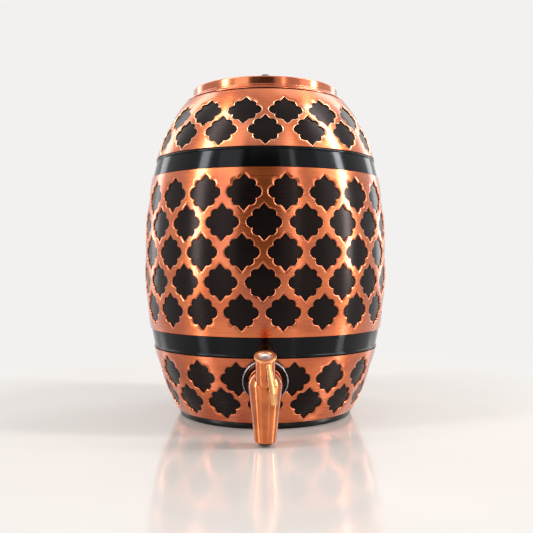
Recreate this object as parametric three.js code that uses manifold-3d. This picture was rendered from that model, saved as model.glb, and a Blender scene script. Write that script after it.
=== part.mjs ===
// A copper water dispenser: a barrel-shaped vessel dressed in three pierced copper jackets
// and two black hoops, with a spun copper lid and a quarter-turn spout tap.
// Millimetres. +Z is up, the tap faces -Y, and the origin is the centre of the foot's underside.
import * as THREE from 'three';
import { mergeVertices } from 'three/addons/utils/BufferGeometryUtils.js';
import Module from 'manifold-3d';

const wasm = await Module();
wasm.setup();
const radians = THREE.MathUtils.degToRad;

// Clearance between pieces that touch, and how far a cut runs past what it cuts
const gap = 0.3;
const overrun = 4;
const weld = 0.0005;

// Facets round a turned piece
const barrelSides = 40;
const ringSides = 32;
const tapSides = 20;
const pinSides = 12;
const cordSides = 6;
const nutSides = 6;

// Steps up each half of the vessel's wall
const halfWallSteps = 4;

// Stave curve: the barrel's outer surface, bulging more fully towards the mouth than the foot
const bellyRadius = 95.1;
const bellyHeight = 120;
const footCurveRadius = 66.6;
const lowerFullnessShare = 0.22;
const upperFullnessShare = 0.415;

// Zones stacked up the barrel
const footHeight = 4.6;
const lowerPanelHeight = 47.8;
const lowerHoopHeight = 14.3;
const middlePanelHeight = 116.1;
const upperHoopHeight = 14.4;
const upperPanelHeight = 44.2;

// Sheet metal
const jacketThickness = 0.9;
const hoopThickness = 0.75;
const hoopInset = 0.9;
const vesselWall = 1.6;

// Pierced pattern: columns round the barrel and rows in each jacket
const middleColumns = 20;
const middleRows = 5;
const endColumns = 16;
const endRows = 2;
const middleTurn = radians(-1.3);
const middleRowDrift = radians(0.29);
const tapHoleSpread = radians(2.2);
// Shares of that spread taken by each row's lattice points, counted outward from the tap
const spreadShares = [[0, 0.1], [0, 1, 0.75]];

// Hoop beads
const beadHeight = 1.8;
const beadProud = 0.8;

// Foot
const footProud = 1.2;
const footRadius = footCurveRadius + footProud;
const footEdge = 1.4;
const footRecess = 1.2;
const footRimWidth = 9;
const footPadRadius = 26;

// Neck, mouth collar and lid: the barrel's mouth stands out past the lid's skirt by a ledge,
// and the collared neck stands inside the skirt with some play
const lidSkirtRadius = 57.4;
const lidThickness = 1;
const lidPlay = 1.5;
const mouthLedge = 6.3;
const mouthCurveRadius = lidSkirtRadius + mouthLedge;
const collarThickness = 1.1;
const neckRadius = lidSkirtRadius - lidThickness - lidPlay - collarThickness - gap;
const neckRise = 6.4;
const collarLip = 1.2;
const lidHeight = 10.6;
const lidLipHeight = 4.2;
const lidSeamGap = 0.4;
const lidLipInset = 0.9;
const lidBead = 0.7;
const lidCrown = 1.6;
const lidEdge = 1;

// Lid knob and its fastener
const knobHeight = 13.4;
const knobRadius = 5.6;
const knobWaist = 3.6;
const knobFlange = 2.2;
const knobScrewRadius = 2;
const knobScrewGrip = 8;
const knobWasherRadius = 6.5;
const washerThickness = 1;

// Tap on the wall: where the shank passes through and how far out the bell stands
const tapHeight = 38;
const tapReach = 30.2;
const shankRadius = 8;
const shankBore = 4.2;
const neckFlangeRadius = 11.6;
const neckFlangeThickness = 2;
const escutcheonRadius = 15.9;
const escutcheonThickness = 1.6;
const escutcheonRim = 1.3;
const escutcheonRise = 1.6;
const sealThickness = 2;
const sealRadius = 13;
const nutThickness = 5.5;
const nutFlat = 12;
const shankTail = 3;

// Bell: the tap's body and spout
const bellRadius = 11.3;
const spoutRadius = 7.1;
const spoutBore = 4.9;
const spoutClearance = 3;
const bellRise = 1.2;

// Handle, standing on the bell's slanted seat and turning about its own axis
const handleLean = radians(23);
const handleRest = radians(16);
const seatForward = 4.8;
const seatRise = 1.3;
const sleeveRadius = 6.35;
const sleeveWall = 0.95;
const sleeveHeight = 18.2;
const capRadius = 7.1;
const capThickness = 1.5;
const capRecess = 0.9;
const screwHeadRadius = 4;
const screwHeadThickness = 0.7;
const screwRadius = 1.3;
const screwLength = 9;
const leverThickness = 1;
const leverRootWidth = 2.8;
const leverFoldWidth = 4.9;
const leverTipWidth = 4.2;
const leverReach = 11;
const leverDrop = 14.4;
const leverTipReach = 2.75;
const leverTipDrop = 6.4;

// Valve: a hollow plug with a side window, turned by the handle
const plugRadius = 5.2;
const plugWall = 1.6;
const windowRadius = 3;
const spindleRadius = 3.2;
const spindleNeckRadius = 2.3;
const grooveDepth = 1.5;
const grooveHeight = 2;
const landHeight = 0.8;
const ringThickness = 1.2;
const glandHeight = 3;
const glandDepth = 3.1;
const stopPinRadius = 0.7;
const stopPinRise = 1.2;
const stopPinDepth = 2;
const stopTravel = radians(90);

// Outlet insert
const insertHeight = 6;
const insertNub = 0.9;
const insertWall = 1.4;

// Heights that follow from the zones
const lowerPanelBase = footHeight + gap;
const lowerHoopBase = lowerPanelBase + lowerPanelHeight + gap;
const middlePanelBase = lowerHoopBase + lowerHoopHeight + gap;
const upperHoopBase = middlePanelBase + middlePanelHeight + gap;
const upperPanelBase = upperHoopBase + upperHoopHeight + gap;
const seamHeight = upperPanelBase + upperPanelHeight + gap;
const vesselDepth = hoopInset + hoopThickness + gap;

const finishes = {
  copper: { color: 0xc07a50, roughness: 0.32, metalness: 1 },
  bareCopper: { color: 0xb06a44, roughness: 0.45, metalness: 1 },
  blackLacquer: { color: 0x15151a, roughness: 0.35, metalness: 0.2 },
  blackRubber: { color: 0x18181a, roughness: 0.6, metalness: 0 },
  chrome: { color: 0xc4c8cc, roughness: 0.15, metalness: 1 },
  brass: { color: 0xb9975a, roughness: 0.35, metalness: 1 },
  silicone: { color: 0xd8d8d4, roughness: 0.7, metalness: 0 },
};

// Outer surface of the barrel at a height, and its slope there
function staveShape(height) {
  const below = height < bellyHeight;
  const span = below ? bellyHeight : seamHeight - bellyHeight;
  const drop = bellyRadius - (below ? footCurveRadius : mouthCurveRadius);
  const fullness = below ? lowerFullnessShare : upperFullnessShare;
  const t = Math.abs(height - bellyHeight) / span;
  const radius = bellyRadius - drop * ((1 - fullness) * t ** 2 + fullness * t ** 5);
  const steepness = (drop / span) * (2 * (1 - fullness) * t + 5 * fullness * t ** 4);
  return { radius, slope: below ? steepness : -steepness };
}

// Radius of a shell that lies a given depth under the outer surface
function shellRadius(height, depth) {
  const { radius, slope } = staveShape(height);
  return radius - depth * Math.hypot(1, slope);
}

// Height reached by going a distance up along the stave from a height
function climb(height, distance) {
  const halfway = height + distance / 2 / Math.hypot(1, staveShape(height).slope);
  return height + distance / Math.hypot(1, staveShape(halfway).slope);
}

// Distance along the stave between two heights
function climbBetween(from, to) {
  return (to - from) * Math.hypot(1, staveShape((from + to) / 2).slope);
}

// Evenly spaced heights from one to another, both ends included
function heightsBetween(from, to, steps) {
  return Array.from({ length: steps + 1 }, (_, i) => from + ((to - from) * i) / steps);
}

// Points along an arc in a profile, angles in degrees
function arcPoints(centreX, centreY, radius, fromDegrees, toDegrees, steps) {
  return heightsBetween(radians(fromDegrees), radians(toDegrees), steps).map((angle) => [
    centreX + radius * Math.cos(angle),
    centreY + radius * Math.sin(angle),
  ]);
}

// A turned piece: a profile of [radius, height] pairs, counter-clockwise, spun about +Z
function turned(profile, sides, closed = true) {
  const points = profile.map(([x, y]) => new THREE.Vector2(x, y));
  if (closed) points.push(points[0].clone());
  return new THREE.LatheGeometry(points, sides).rotateX(Math.PI / 2);
}

// A plain ring or, with no inner radius, a plain cylinder
function ring(inner, outer, from, to, sides) {
  if (inner > 0) return turned([[inner, from], [outer, from], [outer, to], [inner, to]], sides);
  return turned([[0, from], [outer, from], [outer, to], [0, to]], sides, false);
}

// Turn a piece from +Z to -Y, the way out of the barrel
function facingOut(geometry) {
  return geometry.rotateX(Math.PI / 2);
}

// A geometry as a closed solid, placed by a matrix
function solidOf(geometry, matrix = new THREE.Matrix4()) {
  const bare = geometry.clone().applyMatrix4(matrix);
  bare.deleteAttribute('normal');
  bare.deleteAttribute('uv');
  const merged = mergeVertices(bare, weld);
  const kept = [];
  for (let i = 0; i < merged.index.count; i += 3) {
    const corners = [merged.index.getX(i), merged.index.getX(i + 1), merged.index.getX(i + 2)];
    if (new Set(corners).size === 3) kept.push(...corners);
  }
  return new wasm.Manifold(new wasm.Mesh({
    numProp: 3,
    vertProperties: new Float32Array(merged.attributes.position.array),
    triVerts: new Uint32Array(kept),
  }));
}

// A solid back as a geometry
function geometryOf(solid) {
  const mesh = solid.getMesh();
  const geometry = new THREE.BufferGeometry();
  geometry.setAttribute('position', new THREE.BufferAttribute(mesh.vertProperties, 3));
  geometry.setIndex(new THREE.BufferAttribute(mesh.triVerts, 1));
  geometry.computeVertexNormals();
  return geometry;
}

// One quarter of a hole, from its top point to its side, in shares of its half-width and
// half-height: a straight slope, a small round lobe on the diagonal and a round side lobe
const diagonalLobe = { centreShare: [0.413, 0.443], radiusShare: [0.263, 0.243] };
const sideLobe = { centreShare: [0.636, 0], radiusShare: [0.364, 0.32] };
const diagonalSweepDegrees = [114, -32];
const lobeSteps = 2;

function lobePoints(lobe, fromDegrees, toDegrees) {
  return arcPoints(0, 0, 1, fromDegrees, toDegrees, lobeSteps).map(([x, y]) => [
    lobe.centreShare[0] + lobe.radiusShare[0] * x,
    lobe.centreShare[1] + lobe.radiusShare[1] * y,
  ]);
}

// Which steps of each half the back of a hole keeps: its side, its diagonal lobes and its tip
const diagonalStep = lobeSteps + lobeSteps / 2;
const tipStep = 2 * lobeSteps + 1;
const backSteps = [0, diagonalStep, tipStep, 2 * tipStep - diagonalStep];

// The whole hole outline, counter-clockwise from its right side
function holeShares() {
  const quarter = [
    ...lobePoints(sideLobe, 0, 90).slice(0, -1),
    ...lobePoints(diagonalLobe, diagonalSweepDegrees[1], diagonalSweepDegrees[0]),
  ];
  const upperLeft = quarter.slice(1).map(([x, y]) => [-x, y]).reverse();
  const upper = [...quarter, [0, 1], ...upperLeft];
  return [...upper, ...upper.map(([x, y]) => [-x, -y])];
}

// Walls of a hole: both outlines are walked counter-clockwise by their angle about the centre,
// and each step on either one makes a triangle
function stitch(front, back, angleOf, emit) {
  const turn = 2 * Math.PI;
  const ordered = (loop) => loop
    .map((point) => ({ point, angle: (angleOf(point) + turn) % turn }))
    .sort((a, b) => a.angle - b.angle);
  const outer = ordered(front);
  const inner = ordered(back);
  const angleAt = (loop, k) => loop[k % loop.length].angle + (k >= loop.length ? turn : 0);
  let i = 0;
  let j = 0;
  while (i < outer.length || j < inner.length) {
    const a = outer[i % outer.length].point;
    const b = inner[j % inner.length].point;
    const outerFirst = angleAt(outer, i + 1) <= angleAt(inner, j + 1);
    if (i < outer.length && (outerFirst || j >= inner.length)) {
      i += 1;
      emit([a, 0], [outer[i % outer.length].point, 0], [b, 1]);
    } else {
      j += 1;
      emit([a, 0], [inner[j % inner.length].point, 1], [b, 1]);
    }
  }
}

// A pierced jacket: staggered holes in a lattice of diamond cells on the stave surface.
// Lattice columns are half a pitch apart. A hole sits where row and column are both odd or
// both even, and its cell's corners are the lattice points to its sides, above and below.
function piercedJacket(panel) {
  const { base, height, columns, rows, marginShares, holeShare, phase, turn, drift, shift } = panel;
  const pitch = Math.PI / columns;
  const rowStep = (height * (1 - marginShares[0] - marginShares[1])) / (rows - 1);
  const rowHeight = (row) => {
    if (row < 0) return base;
    return row < rows ? base + height * marginShares[0] + row * rowStep : base + height;
  };
  const columnAngle = (row, column) => (column + phase) * pitch + turn + row * drift
    + shift(row, column);
  const middle = base + height / 2;
  const cellWidth = pitch * staveShape(middle).radius;
  const cellHeight = climbBetween(middle - rowStep / 2, middle + rowStep / 2);
  const halfWidth = holeShare[0] * cellWidth;
  const halfHeight = holeShare[1] * cellHeight;
  const corners = [];

  // A point of a cell, in millimetres across and up the stave from its hole's centre
  const onStave = (row, column, [across, up], inside) => {
    const centre = rowHeight(row);
    const level = Math.min(Math.max(climb(centre, up), base), base + height);
    const angle = columnAngle(row, column) + across / staveShape(centre).radius;
    const radius = shellRadius(level, inside ? jacketThickness : 0);
    return new THREE.Vector3(radius * Math.sin(angle), -radius * Math.cos(angle), level);
  };
  const emit = (row, column, ...points) => {
    points.forEach(([point, inside]) => corners.push(onStave(row, column, point, inside)));
  };

  // A lattice point seen from a hole's centre
  const latticeFrom = (row, column, otherRow, otherColumn) => {
    const angle = columnAngle(otherRow, otherColumn) - columnAngle(row, column);
    const centre = rowHeight(row);
    return [angle * staveShape(centre).radius, climbBetween(centre, rowHeight(otherRow))];
  };
  const latticeVector = (row, column, inside) => {
    const angle = columnAngle(row, column);
    const radius = shellRadius(rowHeight(row), inside ? jacketThickness : 0);
    return new THREE.Vector3(radius * Math.sin(angle), -radius * Math.cos(angle), rowHeight(row));
  };

  // The cell's corners, counter-clockwise; at a rim a cell is squared off to meet it
  const cellCorners = (row, column) => {
    const above = row === rows - 1
      ? [[rows, column + 1], [rows, column], [rows, column - 1]]
      : [[row + 1, column]];
    const below = row === 0
      ? [[-1, column - 1], [-1, column], [-1, column + 1]]
      : [[row - 1, column]];
    return [[row, column + 1], ...above, [row, column - 1], ...below];
  };

  // A lattice point on a rim is pushed off its straight line, so that the triangles keep it
  const offRim = (row, column, [r, c], [x, y]) => (
    c === column && (r < 0 || r === rows) ? [x, y + Math.sign(y) * gap] : [x, y]);

  // One face of a cell, front or back, triangulated round its hole
  const cellFace = (row, column, outline, inside) => {
    const lattice = cellCorners(row, column);
    const flat = lattice.map((at) => offRim(row, column, at, latticeFrom(row, column, ...at)));
    const contour = flat.map(([x, y]) => new THREE.Vector2(x, y));
    const hole = outline.map(([x, y]) => new THREE.Vector2(x, y));
    const all = [...contour, ...hole];
    const vectors = [
      ...lattice.map(([r, c]) => latticeVector(r, c, inside)),
      ...outline.map((point) => onStave(row, column, point, inside)),
    ];
    THREE.ShapeUtils.triangulateShape(contour, [hole]).forEach(([a, b, c]) => {
      const area = all[b].clone().sub(all[a]).cross(all[c].clone().sub(all[a]));
      const outward = area > 0 !== Boolean(inside);
      corners.push(vectors[a], ...(outward ? [vectors[b], vectors[c]] : [vectors[c], vectors[b]]));
    });
  };

  const front = holeShares().map(([x, y]) => [x * halfWidth, y * halfHeight]);
  const back = front.filter((point, i) => backSteps.includes(i % (front.length / 2)));
  for (let row = 0; row < rows; row += 1) {
    for (let column = row % 2; column < 2 * columns; column += 2) {
      cellFace(row, column, front, 0);
      cellFace(row, column, back, 1);
      stitch(front, back, ([x, y]) => Math.atan2(y, x), (...points) => emit(row, column, ...points));
    }
  }
  for (let column = 0; column < 2 * columns; column += 1) {
    for (const row of [-1, rows]) {
      const [a, b] = [column, column + 1].map((c) => latticeVector(row, c, 0));
      const [c, d] = [column, column + 1].map((k) => latticeVector(row, k, 1));
      corners.push(...(row < 0 ? [a, c, b, b, c, d] : [a, b, c, b, d, c]));
    }
  }
  return mergeVertices(new THREE.BufferGeometry().setFromPoints(corners), weld);
}

// The two holes beside the tap stand wider apart, and the lattice points next to them follow
function spreadBesideTap(row, column) {
  const turnsOff = ((column + endColumns) % (2 * endColumns)) - endColumns;
  const share = spreadShares[row]?.[Math.abs(turnsOff)] ?? 0;
  return Math.sign(turnsOff) * tapHoleSpread * share;
}

// A hoop between two jackets, with a rounded bead along one edge
function hoop(base, height, beadOnTop) {
  const face = (level) => shellRadius(level, hoopInset);
  const back = (level) => shellRadius(level, hoopInset + hoopThickness);
  const top = base + height;
  const edge = beadOnTop ? top : base;
  const into = beadOnTop ? -beadHeight : beadHeight;
  const bead = [0.2, 0.5, 0.8, 1].map((share, k) => [
    face(edge + share * into) + [0.6, 1, 0.6, 0][k] * beadProud,
    edge + share * into,
  ]);
  const outer = beadOnTop
    ? [[face(base), base], ...bead.reverse(), [face(top), top]]
    : [[face(base), base], ...bead, [face(top), top]];
  return turned([...outer, [back(top), top], [back(base), base]], barrelSides);
}

const floorLevel = footHeight + gap;
const shoulderLevel = seamHeight - gap - jacketThickness;
const neckTop = shoulderLevel + neckRise;

// A stretch of the vessel's shell between two levels
function shellStretch(from, to, depth, steps) {
  return heightsBetween(from, to, steps).map((level) => [shellRadius(level, depth), level]);
}

// The vessel's floor, a plate that closes the wall's foot
function floorProfile() {
  const top = floorLevel + vesselWall;
  return [[0, floorLevel], ...shellStretch(floorLevel, top, vesselDepth, 1), [0, top]];
}

// One half of the vessel's bulging wall, which is welded to the other at the belly
function halfWallProfile(from, to) {
  const inside = shellStretch(from, to, vesselDepth + vesselWall, halfWallSteps).reverse();
  return [...shellStretch(from, to, vesselDepth, halfWallSteps), ...inside];
}

// The vessel's flat shoulder and upright neck
function shoulderProfile() {
  const under = shoulderLevel - vesselWall;
  return [
    [neckRadius - vesselWall, under],
    ...shellStretch(under, shoulderLevel, vesselDepth, 1),
    [neckRadius, shoulderLevel],
    [neckRadius, neckTop],
    [neckRadius - vesselWall, neckTop],
  ];
}

// A collar that wraps the raw edge of the neck
function collarProfile() {
  const bottom = seamHeight - jacketThickness;
  const inner = neckRadius + gap;
  const outer = inner + collarThickness;
  return [
    [inner, bottom],
    [outer, bottom],
    [outer, neckTop + gap + collarLip / 2],
    [outer - collarLip / 2, neckTop + gap + collarLip],
    [neckRadius - vesselWall, neckTop + gap + collarLip],
    [neckRadius - vesselWall, neckTop + gap],
    [inner, neckTop + gap],
  ];
}

const lidTop = seamHeight + lidHeight;
const lidBore = knobScrewRadius + gap;
const knobSeatRadius = knobRadius + 2 * gap;

// The spun lid: flared lip, beaded skirt, rolled edge and a shallow crown with a flat for the knob
function lidProfile() {
  const lipBase = seamHeight + lidSeamGap;
  const lipRadius = mouthCurveRadius - lidLipInset;
  const lipTop = seamHeight + lidLipHeight;
  const crownTop = lidTop + lidCrown;
  const outer = [
    [lipRadius, lipBase],
    [lipRadius, lipBase + lidBead],
    [lidSkirtRadius + lidBead, lipTop - lidBead],
    [lidSkirtRadius + lidBead, lipTop],
    [lidSkirtRadius, lipTop + lidBead],
    [lidSkirtRadius, lidTop - lidEdge],
    [lidSkirtRadius - lidEdge, lidTop],
    [lidSkirtRadius - 4 * lidEdge, lidTop],
    [knobSeatRadius, crownTop],
    [lidBore, crownTop],
  ];
  const inner = [
    [lidBore, crownTop - lidThickness],
    [knobSeatRadius, crownTop - lidThickness],
    [lidSkirtRadius - 4 * lidEdge, lidTop - lidThickness],
    [lidSkirtRadius - lidThickness - lidEdge, lidTop - lidThickness],
    [lidSkirtRadius - lidThickness, lidTop - lidThickness - lidEdge],
    [lidSkirtRadius - lidThickness, lipTop],
    [lipRadius - lidThickness - lidEdge, lipBase],
  ];
  return [...outer, ...inner];
}

// A small turned finial with a blind hole for its screw
function knobProfile(base) {
  const bore = knobScrewRadius + gap;
  const top = base + knobHeight;
  const ballRadius = (knobHeight - knobFlange) / 2 - knobFlange / 2;
  const ballCentre = top - ballRadius;
  return [
    [0, base + knobScrewGrip + gap],
    [bore, base + knobScrewGrip + gap],
    [bore, base],
    [knobRadius, base],
    [knobRadius, base + knobFlange / 2],
    [knobWaist, base + knobFlange],
    ...arcPoints(0, 0, 1, -50, 90, 6).map(([x, y]) => [
      Math.abs(x) < weld ? 0 : x * knobRadius,
      ballCentre + y * ballRadius,
    ]),
  ];
}

// A pan-headed screw, head down, with its shank pointing up
function screwProfile(headRadius, headThickness, radius, length) {
  return [
    [0, 0],
    [headRadius * 0.8, 0],
    [headRadius, headThickness / 2],
    [headRadius, headThickness],
    [radius, headThickness],
    [radius, headThickness + length],
    [0, headThickness + length],
  ];
}

const root = new THREE.Group();

function add(name, geometry, finish, parent = root) {
  const mesh = new THREE.Mesh(geometry, new THREE.MeshStandardMaterial(finishes[finish]));
  mesh.name = name;
  parent.add(mesh);
  return mesh;
}

// Frames on the tap. Each is a group whose matrix also places the cutters.
function frameAt(y, z, lean) {
  const frame = new THREE.Group();
  frame.position.set(0, y, z);
  frame.rotation.x = lean;
  frame.updateMatrix();
  root.add(frame);
  return frame;
}

const wall = staveShape(tapHeight);
const wallLean = Math.atan(wall.slope);
const shankFrame = frameAt(-wall.radius, tapHeight, wallLean);
const bellY = -wall.radius - tapReach;
const bellZ = tapHeight + bellRise;
const bellFrame = frameAt(bellY, bellZ, 0);
const handleFrame = frameAt(bellY - seatForward, bellZ + seatRise, handleLean);
const handle = new THREE.Group();
handle.rotation.z = handleRest;
handleFrame.add(handle);

const spoutLength = bellZ - spoutClearance;

// Where the shank's axis crosses the handle's axis, as a depth under the seat
function portDepth() {
  const out = new THREE.Vector2(Math.cos(wallLean), -Math.sin(wallLean));
  const down = new THREE.Vector2(-Math.sin(handleLean), -Math.cos(handleLean));
  const between = new THREE.Vector2(tapReach + seatForward, bellRise + seatRise);
  return -between.cross(out) / down.cross(out);
}

const windowDepth = portDepth();
const chamberRadius = plugRadius + gap;
const plugBottom = windowDepth + windowRadius + plugWall;
const shankInside = vesselDepth + vesselWall + sealThickness + washerThickness + nutThickness
  + shankTail + 4 * gap;

// The tap body: bell, spout and shank in one casting, bored for the water and the valve
function tapBody() {
  const shoulderSteps = 5;
  const bell = turned([
    [0, -spoutLength],
    [spoutRadius, -spoutLength],
    [(spoutRadius + 2 * bellRadius) / 3 + gap, -spoutLength / 4],
    ...arcPoints(0, 0, bellRadius, 0, 90, shoulderSteps).slice(0, -1),
    [0, bellRadius],
  ], tapSides, false);
  const shank = facingOut(ring(0, shankRadius, -shankInside, tapReach - bellRadius / 2, tapSides));
  const flange = facingOut(ring(0, neckFlangeRadius, flangeBase, flangeBase + neckFlangeThickness,
    tapSides));
  const seat = ring(0, sleeveRadius + gap, 0, 2 * bellRadius, tapSides);
  const chamber = ring(0, chamberRadius, -plugBottom - gap, overrun, tapSides);
  const waterway = ring(0, spoutBore, -spoutLength - overrun, -windowDepth - spoutBore / 2, tapSides);
  const shankWay = facingOut(ring(0, shankBore, -shankInside - overrun, tapReach, tapSides));
  const pinHole = ring(0, stopPinRadius + gap, -stopPinDepth - gap, overrun, pinSides)
    .translate(0, stopPinCircle, 0);
  return geometryOf(solidOf(bell, bellFrame.matrix)
    .add(solidOf(shank, shankFrame.matrix))
    .add(solidOf(flange, shankFrame.matrix))
    .subtract(solidOf(seat, handleFrame.matrix))
    .subtract(solidOf(chamber, handleFrame.matrix))
    .subtract(solidOf(waterway, bellFrame.matrix))
    .subtract(solidOf(shankWay, shankFrame.matrix))
    .subtract(solidOf(pinHole, handleFrame.matrix)));
}

const escutcheonBase = gap;
const flangeBase = escutcheonBase + escutcheonThickness + gap;
const stopPinCircle = sleeveRadius - sleeveWall / 2;

// The dished cover ring behind the tap, its back shaped to the barrel it sits on
function escutcheon() {
  const bore = shankRadius + gap;
  const front = escutcheonBase + escutcheonThickness;
  const lip = front + escutcheonRise;
  const disc = facingOut(turned([
    [bore, -overrun],
    [escutcheonRadius, -overrun],
    [escutcheonRadius, lip - escutcheonRim / 2],
    [escutcheonRadius - escutcheonRim / 2, lip],
    [escutcheonRadius - escutcheonRim, lip - escutcheonRim / 2],
    [neckFlangeRadius + gap, front],
    [bore, front],
  ], ringSides));
  const cutterSides = 2 * ringSides;
  const cutterReach = 2 * escutcheonRadius;
  const bulge = heightsBetween(Math.max(tapHeight - cutterReach, 0), tapHeight + cutterReach, 12)
    .map((level) => [(staveShape(level).radius + gap) / Math.cos(Math.PI / cutterSides), level]);
  const barrel = turned([[0, bulge[0][1]], ...bulge, [0, bulge.at(-1)[1]]], cutterSides, false);
  return geometryOf(solidOf(disc, shankFrame.matrix).subtract(solidOf(barrel)));
}

// A round hole for the shank through a shell of the barrel
function withTapHole(geometry, radius) {
  const cutter = facingOut(ring(0, radius, -tapReach, tapReach, tapSides));
  return geometryOf(solidOf(geometry).subtract(solidOf(cutter, shankFrame.matrix)));
}

// The lever: a ring held under the cap and a strap that slopes out and turns down at its tip
function lever() {
  const level = sleeveHeight + gap + leverThickness / 2;
  const rootReach = sleeveRadius + leverThickness / 2;
  const foldReach = rootReach + leverReach;
  const foldLevel = level - leverDrop;
  const middleWidth = (leverRootWidth + leverFoldWidth) / 2;
  const spine = [
    [screwRadius + 3 * gap, level, leverRootWidth],
    [rootReach, level, leverRootWidth],
    [(rootReach + foldReach) / 2, (level + foldLevel) / 2, middleWidth],
    [foldReach, foldLevel, leverFoldWidth],
    [foldReach + leverTipReach / 4, foldLevel - leverTipDrop / 4, leverTipWidth],
    [foldReach + leverTipReach, foldLevel - leverTipDrop, leverTipWidth],
  ];
  const directions = spine.slice(1).map(([reach, height], i) => (
    new THREE.Vector2(reach - spine[i][0], height - spine[i][1]).normalize()));
  const sections = spine.map(([reach, height, width], i) => {
    const before = directions[Math.max(i - 1, 0)];
    const after = directions[Math.min(i, directions.length - 1)];
    const along = before.clone().add(after).normalize();
    const half = leverThickness / 2 / Math.max(along.dot(after), 0.5);
    const [offReach, offHeight] = [-along.y * half, along.x * half];
    return [[-1, -1], [-1, 1], [1, 1], [1, -1]].map(([side, face]) => new THREE.Vector3(
      (side * width) / 2,
      -(reach + face * offReach),
      height + face * offHeight,
    ));
  });
  const strap = loft(sections);
  const hub = ring(screwRadius + gap, sleeveRadius - sleeveWall - gap, level - leverThickness / 2,
    level + leverThickness / 2, tapSides);
  return geometryOf(solidOf(strap).add(solidOf(hub)));
}

// A solid through a row of four-cornered sections
function loft(sections) {
  const corners = [];
  const quad = (a, b, c, d) => corners.push(a, b, c, a, c, d);
  sections.slice(1).forEach((next, i) => {
    const last = sections[i];
    last.forEach((corner, k) => {
      const other = (k + 1) % last.length;
      quad(corner, next[k], next[other], last[other]);
    });
  });
  quad(...sections[0]);
  quad(...[...sections.at(-1)].reverse());
  return new THREE.BufferGeometry().setFromPoints(corners);
}

// The handle sleeve, with a notch in its lower rim that gives the quarter turn against a pin
function sleeve() {
  const bore = sleeveRadius - sleeveWall;
  const rim = sleeveHeight + gap + leverThickness;
  const body = turned([
    [bore, gap],
    [sleeveRadius, gap],
    [sleeveRadius, rim],
    [bore, rim],
    [bore, sleeveHeight],
    [spindleNeckRadius + gap, sleeveHeight],
    [spindleNeckRadius + gap, sleeveHeight - 2 * sleeveWall],
    [bore, sleeveHeight - 2 * sleeveWall],
  ], tapSides);
  const allowance = Math.asin((stopPinRadius + gap) / stopPinCircle);
  const from = Math.PI - stopTravel - allowance;
  const angles = heightsBetween(from, from + stopTravel + 2 * allowance, tapSides / 2);
  const notch = loft(angles.map((angle) => [
    [bore - gap, -overrun],
    [sleeveRadius + overrun, -overrun],
    [sleeveRadius + overrun, stopPinRise + gap],
    [bore - gap, stopPinRise + gap],
  ].map(([radius, height]) => new THREE.Vector3(
    radius * Math.sin(angle),
    -radius * Math.cos(angle),
    height,
  ))));
  const slot = new THREE.BoxGeometry(leverRootWidth + 2 * gap, 2 * sleeveWall, 2 * leverThickness)
    .translate(0, sleeveWall / 2 - sleeveRadius, sleeveHeight + leverThickness);
  return geometryOf(solidOf(body).subtract(solidOf(notch)).subtract(solidOf(slot)));
}

// The spindle: hollow plug with a side window, two ring grooves, shaft and tapped end
function spindle() {
  const upperLand = -glandDepth - gap;
  const grooves = [0, 1].map((k) => upperLand - landHeight - k * (grooveHeight + landHeight));
  const tapped = screwRadius + gap;
  const top = sleeveHeight - gap;
  const plugBore = plugRadius - plugWall;
  const body = turned([
    [0, -windowDepth + windowRadius],
    [plugBore, -windowDepth + windowRadius - plugBore / 2],
    [plugBore, -plugBottom],
    [plugRadius, -plugBottom],
    [plugRadius, grooves[1] - grooveHeight],
    [plugRadius - grooveDepth, grooves[1] - grooveHeight],
    [plugRadius - grooveDepth, grooves[1]],
    [plugRadius, grooves[1]],
    [plugRadius, grooves[0] - grooveHeight],
    [plugRadius - grooveDepth, grooves[0] - grooveHeight],
    [plugRadius - grooveDepth, grooves[0]],
    [plugRadius, grooves[0]],
    [plugRadius, upperLand],
    [spindleRadius, upperLand],
    [spindleRadius, sleeveHeight / 2],
    [spindleNeckRadius, sleeveHeight / 2],
    [spindleNeckRadius, top],
    [tapped, top],
    [tapped, top - screwLength],
    [0, top - screwLength],
  ], tapSides, false);
  const windowCut = facingOut(ring(0, windowRadius, 0, plugRadius + overrun, pinSides))
    .translate(0, 0, -windowDepth)
    .rotateZ(Math.PI / 2);
  return {
    geometry: geometryOf(solidOf(body).subtract(solidOf(windowCut))),
    grooves,
  };
}

// A round sealing ring, as a torus of few sides
function sealingRing(centreRadius, level) {
  const step = 360 / cordSides;
  return turned(
    arcPoints(centreRadius, level, ringThickness / 2, 0, 360 - step, cordSides - 1),
    tapSides,
  );
}

function hexNut(flat, bore, thickness) {
  const reach = flat / Math.cos(Math.PI / nutSides);
  const outline = new THREE.Shape(Array.from({ length: nutSides }, (_, k) => {
    const angle = (2 * Math.PI * k) / nutSides;
    return new THREE.Vector2(reach * Math.cos(angle), reach * Math.sin(angle));
  }));
  outline.holes.push(new THREE.Path().absarc(0, 0, bore, 0, 2 * Math.PI, true));
  return new THREE.ExtrudeGeometry(outline, {
    depth: thickness, bevelEnabled: false, curveSegments: pinSides,
  });
}

const evenShift = () => 0;

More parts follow.
